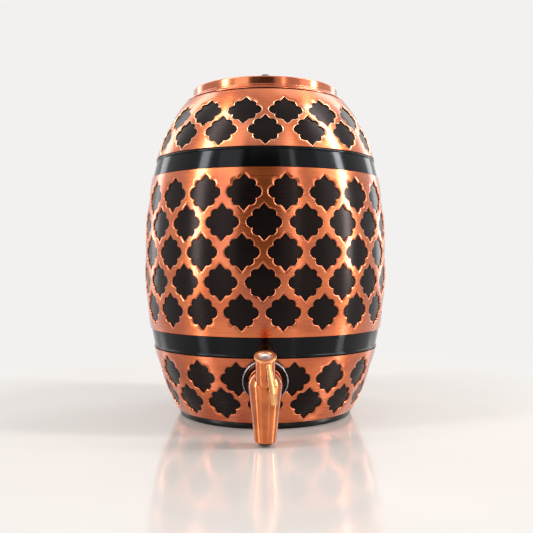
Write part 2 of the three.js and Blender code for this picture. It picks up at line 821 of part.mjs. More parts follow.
// Barrel
add('vessel_floor', turned(floorProfile(), barrelSides, false), 'blackLacquer');
add('vessel_lower_half', withTapHole(
  turned(halfWallProfile(floorLevel + vesselWall + gap, bellyHeight), barrelSides),
  shankRadius + gap,
), 'blackLacquer');
add('vessel_upper_half',
  turned(halfWallProfile(bellyHeight + gap, shoulderLevel - vesselWall - gap), barrelSides),
  'blackLacquer');
add('vessel_shoulder', turned(shoulderProfile(), barrelSides), 'blackLacquer');
add('lower_jacket', withTapHole(piercedJacket({
  base: lowerPanelBase,
  height: lowerPanelHeight,
  columns: endColumns,
  rows: endRows,
  marginShares: [0.297, 0.316],
  holeShare: [0.785, 0.67],
  phase: 0,
  turn: 0,
  drift: 0,
  shift: spreadBesideTap,
}), shankRadius + 2 * gap), 'copper');
add('lower_hoop', hoop(lowerHoopBase, lowerHoopHeight, false), 'blackLacquer');
add('middle_jacket', piercedJacket({
  base: middlePanelBase,
  height: middlePanelHeight,
  columns: middleColumns,
  rows: middleRows,
  marginShares: [0.145, 0.148],
  holeShare: [0.826, 0.64],
  phase: 1,
  turn: middleTurn,
  drift: middleRowDrift,
  shift: evenShift,
}), 'copper');
add('upper_hoop', hoop(upperHoopBase, upperHoopHeight, true), 'blackLacquer');
add('upper_jacket', piercedJacket({
  base: upperPanelBase,
  height: upperPanelHeight,
  columns: endColumns,
  rows: endRows,
  marginShares: [0.277, 0.388],
  holeShare: [0.8, 0.72],
  phase: 0,
  turn: 0,
  drift: 0,
  shift: evenShift,
}), 'copper');
add('foot', turned([
  [0, 0],
  [footPadRadius, 0],
  [footPadRadius + footRecess, footRecess],
  [footRadius - footRimWidth - footRecess, footRecess],
  [footRadius - footRimWidth, 0],
  [footRadius - footEdge, 0],
  [footRadius, footEdge],
  [footRadius, footHeight - footEdge],
  [footRadius - footEdge, footHeight],
  [0, footHeight],
], ringSides, false), 'blackRubber');
add('mouth_collar', turned(collarProfile(), ringSides), 'copper');

// Lid
const plateTop = lidTop + lidCrown;
const plateUnder = plateTop - lidThickness;
add('lid', turned(lidProfile(), barrelSides), 'copper');
add('lid_knob', turned(knobProfile(plateTop + gap), tapSides, false), 'blackLacquer');
add('lid_washer', ring(lidBore, knobWasherRadius, plateUnder - gap - washerThickness,
  plateUnder - gap, tapSides), 'brass');
const knobScrewHead = knobScrewRadius;
add('lid_screw', turned(screwProfile(
  2 * knobScrewRadius,
  knobScrewHead,
  knobScrewRadius,
  washerThickness + lidThickness + knobScrewGrip + 2 * gap,
), pinSides, false), 'brass').position.z = plateUnder - 2 * gap - washerThickness - knobScrewHead;

// Tap body and its fastening to the wall
add('tap_body', tapBody(), 'copper');
add('tap_escutcheon', escutcheon(), 'blackLacquer');
const innerSag = sealRadius ** 2 / 2 / shellRadius(tapHeight, vesselDepth + vesselWall);
const sealFace = -(vesselDepth + vesselWall) - innerSag - 2 * gap;
const washerFace = sealFace - sealThickness - gap;
const nutFace = washerFace - washerThickness - gap;
const overShank = shankRadius + gap;
add('tap_seal', facingOut(ring(overShank, sealRadius, sealFace - sealThickness, sealFace,
  tapSides)), 'silicone', shankFrame);
add('tap_washer', facingOut(ring(overShank, sealRadius, washerFace - washerThickness, washerFace,
  tapSides)), 'chrome', shankFrame);
add('tap_lock_nut', facingOut(hexNut(nutFlat, overShank, nutThickness)
  .translate(0, 0, nutFace - nutThickness)), 'brass', shankFrame);

// Outlet insert, just showing below the spout
add('spout_insert', turned([
  [spoutBore - gap - insertWall, -spoutLength - insertNub],
  [spoutBore - gap - insertWall / 2, -spoutLength - insertNub],
  [spoutBore - gap, -spoutLength + insertNub],
  [spoutBore - gap, -spoutLength + insertHeight],
  [spoutBore - gap - insertWall, -spoutLength + insertHeight],
], pinSides), 'blackRubber', bellFrame);

// Valve and handle
const { geometry: spindleGeometry, grooves } = spindle();
add('valve_spindle', spindleGeometry, 'brass', handle);
const ringCentre = plugRadius + gap / 2 - grooveDepth / 2 + gap / 4;
['upper', 'lower'].forEach((name, k) => {
  add(`spindle_ring_${name}`, sealingRing(ringCentre, grooves[k] - grooveHeight / 2), 'blackRubber',
    handle);
});
add('gland_nut', turned([
  [spindleRadius + gap, -glandDepth],
  [plugRadius, -glandDepth],
  [plugRadius, -gap],
  [plugRadius - gap, gap],
  [plugRadius - gap, glandHeight],
  [spindleRadius + gap, glandHeight],
], tapSides), 'brass', handleFrame);
add('stop_pin', ring(0, stopPinRadius, -stopPinDepth, stopPinRise, pinSides)
  .translate(0, stopPinCircle, 0), 'chrome', handleFrame);
add('handle_sleeve', sleeve(), 'copper', handle);
add('handle_lever', lever(), 'copper', handle);
const capBase = sleeveHeight + leverThickness + 2 * gap;
add('handle_cap', turned([
  [screwRadius + gap, capBase],
  [capRadius, capBase],
  [capRadius, capBase + capThickness - gap],
  [capRadius - gap, capBase + capThickness],
  [screwHeadRadius + gap, capBase + capThickness],
  [screwHeadRadius + gap, capBase + capThickness - capRecess],
  [screwRadius + gap, capBase + capThickness - capRecess],
], tapSides), 'copper', handle);
const screwSeat = capBase + capThickness - capRecess + gap;
add('handle_screw', turned(screwProfile(screwHeadRadius, screwHeadThickness, screwRadius,
  screwLength - gap), pinSides, false).rotateX(Math.PI)
  .translate(0, 0, screwSeat + screwHeadThickness), 'chrome', handle);

export default root;
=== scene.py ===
"""Looks of a barrel-shaped copper water dispenser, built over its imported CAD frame.

Lengths are written in millimetres and turned into metres where a mesh is made, and angles are in
radians, but where a docstring says otherwise. +Z is up, the tap faces -Y, and the origin is the
centre of the foot's underside.
"""

import logging
import math
from dataclasses import dataclass, field
from enum import Enum
from typing import Optional, Sequence, Union

import bmesh
import bpy
import numpy as np
from mathutils import Matrix, Vector


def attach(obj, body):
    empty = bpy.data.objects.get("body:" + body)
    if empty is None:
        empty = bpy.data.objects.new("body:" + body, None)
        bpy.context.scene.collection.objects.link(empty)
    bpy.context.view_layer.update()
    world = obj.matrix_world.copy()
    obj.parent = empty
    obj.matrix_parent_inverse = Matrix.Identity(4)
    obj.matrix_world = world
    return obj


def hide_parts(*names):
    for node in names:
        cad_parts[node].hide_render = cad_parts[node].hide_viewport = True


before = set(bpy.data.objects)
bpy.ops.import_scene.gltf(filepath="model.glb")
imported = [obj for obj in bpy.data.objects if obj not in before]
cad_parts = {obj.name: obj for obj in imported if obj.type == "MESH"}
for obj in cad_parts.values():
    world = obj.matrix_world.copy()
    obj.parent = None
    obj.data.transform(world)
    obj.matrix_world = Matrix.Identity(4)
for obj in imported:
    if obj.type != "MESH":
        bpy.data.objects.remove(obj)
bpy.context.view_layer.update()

MM = 0.001
# How near points are welded, and how short an edge is dropped, in metres.
WELD = 2e-6
SLIVER = 1e-6
FINE_SIDES = 240
COAT_IOR = 1.9
LOG = logging.getLogger("dispenser")
Colour = tuple[float, float, float]
Scale = tuple[float, float, float]
ProfilePoint = tuple[float, float, float]
Socket = bpy.types.NodeSocket


class Rides(Enum):
    """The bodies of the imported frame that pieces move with."""

    BODY = "body"
    LID = "lid"
    HANDLE = "handle"


class Slot(Enum):
    """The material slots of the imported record."""

    COPPER = "copper"
    PALE_COPPER = "pale_copper"
    LACQUER = "black_lacquer"
    BASE = "black_base"
    KNOB = "dark_knob"
    PLASTIC = "black_plastic"
    RUBBER = "black_rubber"
    BRASS = "brass"
    SILVER = "silver_trim"
    SILICONE = "silicone"


def linear(colour: Colour) -> tuple[float, float, float, float]:
    """A screen's colour, from 0 to 1, as linear scene values with an alpha of one."""
    shares = [c / 12.92 if c <= 0.04045 else ((c + 0.055) / 1.055) ** 2.4 for c in colour]
    return (shares[0], shares[1], shares[2], 1.0)


class Graph:
    """A short way to write the nodes of a material, or of another tree."""

    def __init__(self, name: str, tree: Optional[bpy.types.NodeTree] = None) -> None:
        """Start an empty material, or empty another tree, such as the surround's.

        Args:
            name: the material's name.
            tree: the other tree, where there is one.
        """
        if tree is None:
            self.material = bpy.data.materials.new(name)
            self.material.use_nodes = True
            tree = self.material.node_tree
        self.tree = tree
        self.tree.nodes.clear()

    def node(self, kind: str, inputs: Optional[dict] = None, **settings: object) -> bpy.types.Node:
        """Add a node, set its properties and fill or link its inputs.

        Args:
            kind: the node's type name.
            inputs: values or output sockets, by input name or number.
            settings: properties of the node itself.

        Returns:
            The new node.
        """
        made = self.tree.nodes.new(kind)
        for key, value in settings.items():
            setattr(made, key, value)
        for key, value in (inputs or {}).items():
            if isinstance(value, Socket):
                self.tree.links.new(value, made.inputs[key])
            else:
                made.inputs[key].default_value = value
        return made

    def place(self, scale: Scale) -> Socket:
        """Object coordinates, stretched so that so many features fit in a metre along each axis."""
        at = self.node("ShaderNodeTexCoord").outputs["Object"]
        return self.node("ShaderNodeMapping", {"Vector": at, "Scale": scale}).outputs[0]

    def noise(self, scale: Scale, detail: float = 3.0, twist: float = 0.0) -> Socket:
        """Noise from 0 to 1, with so many features in a metre, finer octaves and distortion."""
        inputs = {"Vector": self.place(scale), "Scale": 1.0, "Detail": detail, "Distortion": twist}
        return self.node("ShaderNodeTexNoise", inputs).outputs[0]

    def spread(self, value: Socket, low: float, high: float,
               out_low: float = 0.0, out_high: float = 1.0) -> Socket:
        """Map the range from low to high smoothly onto the one from out_low to out_high."""
        ends = {"From Min": low, "From Max": high, "To Min": out_low, "To Max": out_high}
        return self.node("ShaderNodeMapRange", {"Value": value, **ends},
                         interpolation_type="SMOOTHSTEP").outputs[0]

    def vary(self, noise: Socket, low: float = 0.0, high: float = 1.0) -> Socket:
        """Spread the middle part of a noise, where most of its values lie, over a range."""
        return self.spread(noise, 0.3, 0.7, low, high)

    def blend(self, share: Socket, first: Colour, second: Colour) -> Socket:
        """Mix two screen colours, of which the second shows by its share."""
        colours = {0: share, 6: linear(first), 7: linear(second)}
        return self.node("ShaderNodeMix", colours, data_type="RGBA").outputs[2]

    def combine(self, first: object, second: object, operation: str = "ADD") -> Socket:
        """Combine two numbers or sockets by a sum, or by another operation of arithmetic."""
        return self.node("ShaderNodeMath", {0: first, 1: second}, operation=operation).outputs[0]

    def bump(self, height: Socket, strength: float, depth: float) -> Socket:
        """Turn a height into a normal. A full step is as many millimetres as the depth."""
        inputs = {"Height": height, "Strength": strength, "Distance": depth * MM}
        return self.node("ShaderNodeBump", inputs).outputs[0]

    def streaked(self, stretch: float) -> dict:
        """The shader inputs that draw highlights out up and down a turned piece."""
        tangent = self.node("ShaderNodeTangent", direction_type="RADIAL", axis="Z").outputs[0]
        return {"Anisotropic": stretch, "Anisotropic Rotation": 0.25, "Tangent": tangent}

    def close(self, output: str, share: Socket, first: Socket, second: Socket) -> None:
        """Close the tree with two shaders, of which the second shows by its share."""
        mixed = self.node("ShaderNodeMixShader", {0: share, 1: first, 2: second})
        self.node(output, {"Surface": mixed.outputs[0]})

    def finish(self, inputs: dict) -> bpy.types.Material:
        """Close the material with its shader.

        Args:
            inputs: the shader's inputs, by name.

        Returns:
            The finished material.
        """
        shader = self.node("ShaderNodeBsdfPrincipled", inputs)
        self.node("ShaderNodeOutputMaterial", {"Surface": shader.outputs[0]})
        return self.material


@dataclass(frozen=True)
class BrushedMetal:
    """Metal brushed level round the barrel, with fine lines and slow changes of tone."""

    name: str
    dark: Colour
    light: Colour
    roughness: float = 0.3
    metal: float = 1.0
    line_strength: float = 0.06
    line_depth: float = 0.05
    lines: Scale = (16.0, 16.0, 2600.0)
    tone: Scale = (30.0, 30.0, 60.0)
    stretch: float = 0.75
    coat: float = 0.0
    shine: float = 0.5
    tint: Colour = (1.0, 1.0, 1.0)

    def material(self) -> bpy.types.Material:
        """Build the brushed metal, whose colour changes mostly with the slow tone.

        Returns:
            The material.
        """
        graph = Graph(self.name)
        lines = graph.noise(self.lines)
        slow = graph.vary(graph.noise(self.tone, twist=0.4), 0.0, 0.8)
        shade = graph.combine(slow, graph.spread(lines, 0.35, 0.65, 0.0, 0.2))
        return graph.finish({
            "Base Color": graph.blend(shade, self.dark, self.light),
            "Metallic": self.metal,
            "Roughness": graph.vary(lines, self.roughness * 0.93, self.roughness * 1.1),
            "Specular IOR Level": self.shine,
            "Specular Tint": linear(self.tint),
            "Coat Weight": self.coat,
            "Coat Roughness": 0.17,
            "Coat IOR": COAT_IOR,
            "Normal": graph.bump(lines, self.line_strength, self.line_depth),
            **graph.streaked(self.stretch),
        })


@dataclass(frozen=True)
class PolishedMetal:
    """Metal polished almost to a mirror, with faint wipe marks and clouding."""

    name: str
    dark: Colour
    light: Colour
    roughness: float = 0.12
    stretch: float = 0.0
    coat: float = 0.0
    wipes: Scale = (900.0, 900.0, 40.0)
    clouds: Scale = (90.0, 90.0, 60.0)

    def material(self) -> bpy.types.Material:
        """Build the polished metal, duller and lighter where it is clouded.

        Returns:
            The material.
        """
        graph = Graph(self.name)
        cloud = graph.noise(self.clouds, 2.0, 0.6)
        low, high = self.roughness * 0.85, self.roughness * 1.3
        return graph.finish({
            "Base Color": graph.blend(graph.vary(cloud), self.dark, self.light),
            "Metallic": 1.0,
            "Roughness": graph.spread(cloud, 0.3, 0.75, low, high),
            "Coat Weight": self.coat,
            "Coat Roughness": 0.05,
            "Coat IOR": COAT_IOR,
            "Normal": graph.bump(graph.noise(self.wipes), 0.12, 0.03),
            **graph.streaked(self.stretch),
        })


@dataclass(frozen=True)
class GlossBlack:
    """Black lacquer with level streaks, a slow unevenness and a few hair scratches."""

    name: str
    shade: Colour = (0.022, 0.022, 0.025)
    roughness: float = 0.14
    shine: float = 0.18
    # A cool tint of the reflections: a painted reflection of a bluish surround that the lamps don't
    # give.
    tint: Colour = (0.93, 0.96, 1.0)
    streaks: Scale = (14.0, 14.0, 1700.0)
    hairs: Scale = (60.0, 60.0, 3200.0)

    def material(self) -> bpy.types.Material:
        """Build the lacquer, with scratches where a fine noise peaks.

        Returns:
            The material.
        """
        graph = Graph(self.name)
        streaks = graph.noise(self.streaks)
        scratch = graph.spread(graph.noise(self.hairs, 2.0, 0.8), 0.7, 0.76)
        pale = tuple(min(1.0, 3.2 * part + 0.1) for part in self.shade)
        return graph.finish({
            "Base Color": graph.blend(graph.combine(scratch, 0.25, "MULTIPLY"), self.shade, pale),
            "Roughness": graph.vary(streaks, self.roughness * 0.88, self.roughness * 1.15),
            "Specular IOR Level": self.shine,
            "Specular Tint": linear(self.tint),
            "Normal": graph.bump(streaks, 0.05, 0.015),
            **graph.streaked(0.7),
        })


@dataclass(frozen=True)
class Moulded:
    """Moulded plastic, rubber or silicone with a fine leathery grain."""

    name: str
    shade: Colour
    pale: Colour
    roughness: float = 0.5
    shine: float = 0.5
    grain: Scale = (1400.0, 1400.0, 1400.0)
    tone: Scale = (45.0, 45.0, 45.0)

    def material(self) -> bpy.types.Material:
        """Build the moulded surface.

        Returns:
            The material.
        """
        graph = Graph(self.name)
        grain = graph.noise(self.grain)
        tone = graph.vary(graph.noise(self.tone, 2.0))
        return graph.finish({
            "Base Color": graph.blend(tone, self.shade, self.pale),
            "Roughness": graph.vary(grain, self.roughness * 0.85, self.roughness * 1.15),
            "Specular IOR Level": self.shine,
            "Normal": graph.bump(grain, 0.25, 0.04),
        })


Finish = Union[BrushedMetal, PolishedMetal, GlossBlack, Moulded]

COPPER = BrushedMetal("brushed_copper", (0.69, 0.30, 0.115), (0.82, 0.42, 0.19), 0.28, coat=0.5)
LID_COPPER = BrushedMetal(
    "spun_copper", (0.69, 0.31, 0.13), (0.82, 0.43, 0.21), 0.19, line_strength=0.04, coat=0.5
)
# The holes' lips: a polished cut edge, made paler still as a painted highlight.
POLISHED_LIP_AND_HIGHLIGHT = PolishedMetal("polished_lip_and_painted_highlight", (0.88, 0.64, 0.48), (0.95, 0.76, 0.62), 0.24)
# The field's warm reflection tint is a painted reflection of the warm surround.
FIELD = BrushedMetal(
    "dark_field", (0.030, 0.020, 0.020), (0.066, 0.046, 0.044), 0.27, metal=0.0,
    line_strength=0.12, shine=0.15, tint=(1.0, 0.88, 0.86),
)
TAP_COPPER = PolishedMetal(
    "rose_copper", (0.68, 0.34, 0.14), (0.82, 0.45, 0.22), 0.17, stretch=0.6, coat=0.35
)
CAP_COPPER = PolishedMetal("cap_copper", (0.85, 0.55, 0.36), (0.93, 0.65, 0.46), 0.3)
PALE_STRIP = PolishedMetal("pale_strip", (0.84, 0.60, 0.40), (0.92, 0.70, 0.50), 0.14)
SILVER = PolishedMetal("silver", (0.88, 0.89, 0.90), (0.96, 0.97, 0.98), 0.28)
BRASS = PolishedMetal("turned_brass", (0.70, 0.54, 0.30), (0.85, 0.70, 0.44), 0.24)
# Grey for the cover ring's rim: a painted highlight along its edge.
RIM_PAINTED_HIGHLIGHT = PolishedMetal("rim_painted_highlight", (0.46, 0.47, 0.50), (0.62, 0.63, 0.67), 0.25)
HOOP_BLACK = GlossBlack("hoop_lacquer")
RING_BLACK = GlossBlack("ring_gloss", (0.04, 0.036, 0.036), shine=0.35)
KNOB_GREY = GlossBlack("knob_dark", (0.10, 0.095, 0.09), 0.2, 0.5)
BASE_BLACK = Moulded("base_black", (0.022, 0.02, 0.02), (0.045, 0.042, 0.04), 0.3, 0.2)
RUBBER = Moulded("black_rubber", (0.05, 0.05, 0.05), (0.09, 0.09, 0.09), 0.65)
SILICONE = Moulded("clear_silicone", (0.78, 0.78, 0.75), (0.88, 0.88, 0.86))


@dataclass
class Surface:
    """Points in millimetres and the quads between them."""

    points: np.ndarray
    quads: np.ndarray

    def moved(self, place: np.ndarray) -> "Surface":
        """The surface carried by a four by four matrix, in millimetres."""
        return Surface(self.points @ place[:3, :3].T + place[:3, 3], self.quads)


def grid(points: np.ndarray, wrapped: bool = True, closed: bool = False) -> Surface:
    """Join a grid of points into quads. Rows run along the first direction, which turns left.

    Args:
        points: an array of rows by columns by three.
        wrapped: whether the last row meets the first.
        closed: whether the last column meets the first.

    Returns:
        The surface.
    """
    rows, columns = points.shape[:2]
    i, j = np.meshgrid(
        np.arange(rows if wrapped else rows - 1),
        np.arange(columns if closed else columns - 1),
        indexing="ij",
    )
    k, l = (i + 1) % rows, (j + 1) % columns
    quads = np.stack([i * columns + j, k * columns + j, k * columns + l, i * columns + l], -1)
    return Surface(points.reshape(-1, 3), quads.reshape(-1, 4))


def joined(parts: Sequence[Surface]) -> Surface:
    """Put several surfaces in one.

    Args:
        parts: the surfaces.

    Returns:
        One surface with all their points and quads.
    """
    starts = np.cumsum([0] + [len(part.points) for part in parts[:-1]])
    quads = np.concatenate([part.quads + start for part, start in zip(parts, starts)])
    return Surface(np.concatenate([part.points for part in parts]), quads)


def unit(ways: np.ndarray) -> np.ndarray:
    """Each row brought to a length of one, but for rows of no length."""
    return ways / np.maximum(np.linalg.norm(ways, axis=1, keepdims=True), 1e-9)


def evenly(line: np.ndarray, count: int) -> tuple[np.ndarray, np.ndarray]:
    """Walk along a polyline in equal steps.

    Args:
        line: its corners, as pairs.
        count: how many points the walk has, with both ends.

    Returns:
        The points as pairs, and how far along the line each of them lies.
    """
    along = np.concatenate([[0.0], np.cumsum(np.hypot(*np.diff(line, axis=0).T))])
    even = np.linspace(0.0, along[-1], count)
    return np.stack([np.interp(even, along, line[:, k]) for k in (0, 1)], -1), even


def around(radius: np.ndarray, angle: np.ndarray, up: np.ndarray) -> np.ndarray:
    """Points round +Z: the radius times the angle's sine and minus its cosine, and the height."""
    x = radius * np.sin(angle)
    return np.stack([x, -radius * np.cos(angle), np.broadcast_to(up, np.shape(x))], -1)


def rounded(corners: Sequence[ProfilePoint], closed: bool = False, steps: int = 6) -> np.ndarray:
    """Round a polyline's corners.

    Each corner is cut back along both sides by its own length and bridged by a parabola, which
    starts and ends along the sides: (1-t) squared of one cut, 2t(1-t) of the corner and t squared
    of the other cut.

    Args:
        corners: across, up and the length cut back at each corner.
        closed: whether the last corner is joined to the first.
        steps: how many steps a bridge has.

    Returns:
        The points of the rounded line, as an array of pairs.
    """
    at = np.array([corner[:2] for corner in corners], float)
    cut = np.array([corner[2] for corner in corners], float)
    before, after = np.roll(at, 1, 0), np.roll(at, -1, 0)
    if not closed:
        cut[0] = cut[-1] = 0.0
        before[0], after[-1] = at[0], at[-1]
    start = at + unit(before - at) * cut[:, None]
    end = at + unit(after - at) * cut[:, None]
    t = np.linspace(0.0, 1.0, steps + 1)[None, :, None]
    bridges = (1 - t) ** 2 * start[:, None] + 2 * t * (1 - t) * at[:, None] + t**2 * end[:, None]
    keep = np.ones(bridges.shape[:2], bool)
    keep[cut == 0.0, 1:] = False
    return bridges[keep]


def turned(profile: np.ndarray, sides: int = 192, closed: bool = True) -> Surface:
    """Spin a profile of radius and height, walked counter-clockwise, about +Z."""
    angle = np.linspace(0.0, 2 * math.pi, sides, endpoint=False)[:, None]
    return grid(around(profile[None, :, 0], angle, profile[None, :, 1]), True, closed)


def plug(radius: float, low: float, high: float, sides: int = 64) -> Surface:
    """A round bar on the axis, between two heights."""
    line = np.array([(0, low), (radius, low), (radius, high), (0, high)], float)
    return turned(line, sides, False)


def placed(origin: Sequence[float], lean: float, facing_out: bool = False,
           spin: float = 0.0) -> np.ndarray:
    """A place on the tap.

    Args:
        origin: where the place's own origin lies.
        lean: how far the place tips towards -Y, in radians.
        facing_out: whether its +Z is first turned to point out of the barrel.
        spin: a turn about its own +Z, in radians.

    Returns:
        The four by four matrix, in millimetres.
    """
    tip = Matrix.Rotation(lean + (math.pi / 2 if facing_out else 0.0), 4, "X")
    whole = np.array(tip @ Matrix.Rotation(spin, 4, "Z"))
    whole[:3, 3] = origin
    return whole


def mesh_of(name: str, surface: Surface, sharp: float = 40.0) -> bpy.types.Mesh:
    """Put a surface into a mesh in metres, with its seams and poles welded.

    Args:
        name: the mesh's name.
        surface: the surface, in millimetres.
        sharp: edges that turn by more than this many degrees are drawn sharp.

    Returns:
        The mesh.
    """
    mesh = bpy.data.meshes.new(name)
    mesh.vertices.add(len(surface.points))
    mesh.vertices.foreach_set("co", (surface.points * MM).astype(np.float32).ravel())
    mesh.loops.add(surface.quads.size)
    mesh.loops.foreach_set("vertex_index", surface.quads.astype(np.int32).ravel())
    mesh.polygons.add(len(surface.quads))
    mesh.polygons.foreach_set("loop_start", np.arange(0, surface.quads.size, 4, dtype=np.int32))
    mesh.update(calc_edges=True)
    work = bmesh.new()
    work.from_mesh(mesh)
    bmesh.ops.remove_doubles(work, verts=work.verts, dist=WELD)
    bmesh.ops.dissolve_degenerate(work, edges=work.edges, dist=SLIVER)
    if work.calc_volume(signed=True) < 0:
        bmesh.ops.reverse_faces(work, faces=work.faces)
    work.to_mesh(mesh)
    work.free()
    soften(mesh, sharp)
    return mesh


def faces_of(mesh: bpy.types.Mesh) -> tuple[np.ndarray, np.ndarray]:
    """Where a mesh's faces lie and which way they point.

    Args:
        mesh: the mesh, in metres.

    Returns:
        The faces' centres in millimetres and their normals.
    """
    centres, normals = (np.empty(len(mesh.polygons) * 3) for _ in range(2))
    mesh.polygons.foreach_get("center", centres)
    mesh.polygons.foreach_get("normal", normals)
    return centres.reshape(-1, 3) / MM, normals.reshape(-1, 3)


def soften(mesh: bpy.types.Mesh, sharp: float) -> None:
    """Shade a mesh smooth but for its sharp edges.

    Args:
        mesh: the mesh.
        sharp: the least turn of a sharp edge, in degrees.
    """
    mesh.polygons.foreach_set("use_smooth", np.ones(len(mesh.polygons), bool))
    mesh.set_sharp_from_angle(angle=math.radians(sharp))
    mesh.update()


@dataclass
class Piece:
    """A shown piece: its name, the node that it stands for, what it rides on and how it looks.

    Edges that turn by more than the sharp angle, in degrees, are drawn sharp.
    """

    name: str
    node: str
    body: Rides
    slot: Slot
    finish: Finish
    sharp: float = 40.0

    def show(self, mesh: bpy.types.Mesh, others: Sequence[Finish] = ()) -> bpy.types.Object:
        """Add the piece to the scene in place of its CAD node.

        Args:
            mesh: the piece's mesh, in metres.
            others: the finishes of faces marked one, two and so on.

        Returns:
            The new object.
        """
        made = bpy.data.objects.new(self.name, mesh)
        bpy.context.scene.collection.objects.link(made)
        for finish in (self.finish, *others):
            mesh.materials.append(dress(finish))
        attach(made, self.body.value)
        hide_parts(self.node)
        LOG.info("%s: %d faces", self.name, len(mesh.polygons))
        return made

    def build(self, surface: Surface) -> bpy.types.Object:
        """Make the mesh from a surface in millimetres and show it."""
        return self.show(mesh_of(self.name, surface, self.sharp))


def dress(finish: Finish) -> bpy.types.Material:
    """The material of a finish, made once."""
    return bpy.data.materials.get(finish.name) or finish.material()


def carved(name: str, base: Surface, added: Sequence[Surface], taken: Sequence[Surface],
           sharp: float = 35.0) -> bpy.types.Mesh:
    """Join solids to a base and cut others from it.

    Args:
        name: the result's name.
        base: the first solid.
        added: solids joined to it.
        taken: solids cut from what that makes.
        sharp: edges that turn by more than this many degrees are drawn sharp.

    Returns:
        The carved mesh.
    """
    body = bpy.data.objects.new(name, mesh_of(name, base))
    bpy.context.scene.collection.objects.link(body)
    tools = []
    for kind, solids in (("UNION", added), ("DIFFERENCE", taken)):
        for number, solid in enumerate(solids):
            tool = bpy.data.objects.new(f"{name}_{kind}_{number}", mesh_of("tool", solid))
            bpy.context.scene.collection.objects.link(tool)
            tools.append(tool)
            cut = body.modifiers.new(tool.name, "BOOLEAN")
            cut.operation, cut.solver, cut.object = kind, "EXACT", tool
    bpy.context.view_layer.update()
    evaluated = body.evaluated_get(bpy.context.evaluated_depsgraph_get())
    result = bpy.data.meshes.new_from_object(evaluated)
    for spent in [body, *tools]:
        bpy.data.objects.remove(spent)
    result.materials.clear()
    soften(result, sharp)
    return result


@dataclass(frozen=True)
class Stave:
    """The barrel's outer curve: a square term and a fifth-power term either side of its belly."""

    belly_radius: float = 95.1
    belly_height: float = 120.0
    foot_radius: float = 66.6
    mouth_radius: float = 63.7
    seam: float = 243.2
    lower_share: float = 0.22
    upper_share: float = 0.415

    def parts(self, height: np.ndarray) -> tuple[np.ndarray, np.ndarray, np.ndarray, np.ndarray]:
        """How far a height is from the belly, and what the curve does on that side.

        Args:
            height: heights above the table.

        Returns:
            The distance as a share of the side's span, the span, the drop in radius and the
            share of the fifth-power term.
        """
        below = height < self.belly_height
        span = np.where(below, self.belly_height, self.seam - self.belly_height)
        drop = self.belly_radius - np.where(below, self.foot_radius, self.mouth_radius)
        share = np.where(below, self.lower_share, self.upper_share)
        return np.abs(height - self.belly_height) / span, span, drop, share

    def radius(self, height: np.ndarray) -> np.ndarray:
        """The belly's radius, less the drop times a mix of t squared and t to the fifth."""
        t, _, drop, share = self.parts(np.asarray(height, float))
        return self.belly_radius - drop * ((1 - share) * t**2 + share * t**5)

    def slope(self, height: np.ndarray) -> np.ndarray:
        """How fast the radius grows with height, by the derivative of its formula.

        Args:
            height: heights above the table.

        Returns:
            The radius gained for each millimetre of height.
        """
        height = np.asarray(height, float)
        t, span, drop, share = self.parts(height)
        size = drop / span * (2 * (1 - share) * t + 5 * share * t**4)
        return np.where(height < self.belly_height, size, -size)

    def shell(self, height: np.ndarray, depth: np.ndarray) -> np.ndarray:
        """The radius of a shell that lies a depth under the surface, measured square to it."""
        return self.radius(height) - depth * np.hypot(1.0, self.slope(height))

    def climb(self, height: np.ndarray, distance: np.ndarray) -> np.ndarray:
        """The height reached by going a distance up along the curve."""
        halfway = height + distance / 2 / np.hypot(1.0, self.slope(height))
        return height + distance / np.hypot(1.0, self.slope(halfway))


STAVE = Stave()


@dataclass(frozen=True)
class Lobe:
    """One lobe of a hole, in shares of the hole's half-sizes. Its sweep is in degrees."""

    centre: tuple[float, float]
    reach: tuple[float, float]
    sweep: tuple[float, float]
    count: int

    def arc(self) -> np.ndarray:
        """Its points: the centre, plus the reach times the cosine and the sine of the angle."""
        angle = np.radians(np.linspace(*self.sweep, self.count))[:, None]
        return self.centre + self.reach * np.concatenate([np.cos(angle), np.sin(angle)], 1)


@dataclass(frozen=True)
class HoleOutline:
    """A four-lobed hole: a lobe at each side, one on each diagonal, and slopes to its tips."""

    side: Lobe = Lobe((0.636, 0.0), (0.364, 0.32), (0.0, 78.0), 12)
    diagonal: Lobe = Lobe((0.413, 0.443), (0.263, 0.243), (-32.0, 114.0), 24)
    quarter: int = 20

    def shares(self) -> np.ndarray:
        """The outline in shares of its half-sizes, with as many points in each quarter.

        Returns:
            Pairs counter-clockwise from the right-hand side.
        """
        line = np.concatenate([self.side.arc(), self.diagonal.arc(), [[0.0, 1.0]]])
        quarter, _ = evenly(line, self.quarter + 1)
        left = (quarter * [-1, 1])[::-1]
        upper = np.concatenate([quarter[:-1], left[:-1]])
        return np.concatenate([upper, -upper])


# Each ring of a cell: its share of the cell's edge, how far it is pushed out from the hole as a
# share of the lip, and its depth as a share of the sheet. They go over the face, the lip, down the
# wall of the hole and back along the inner face.
SHEET_RINGS = (
    (1, 0, 0), (0.62, 1, 0), (0.28, 1, 0), (0, 1, 0), (0, 0.6, 0.14), (0, 0.25, 0.36),
    (0, 0.05, 0.56), (0, 0, 0.75), (0, 0, 1), (0, 1, 1), (1, 0, 1),
)


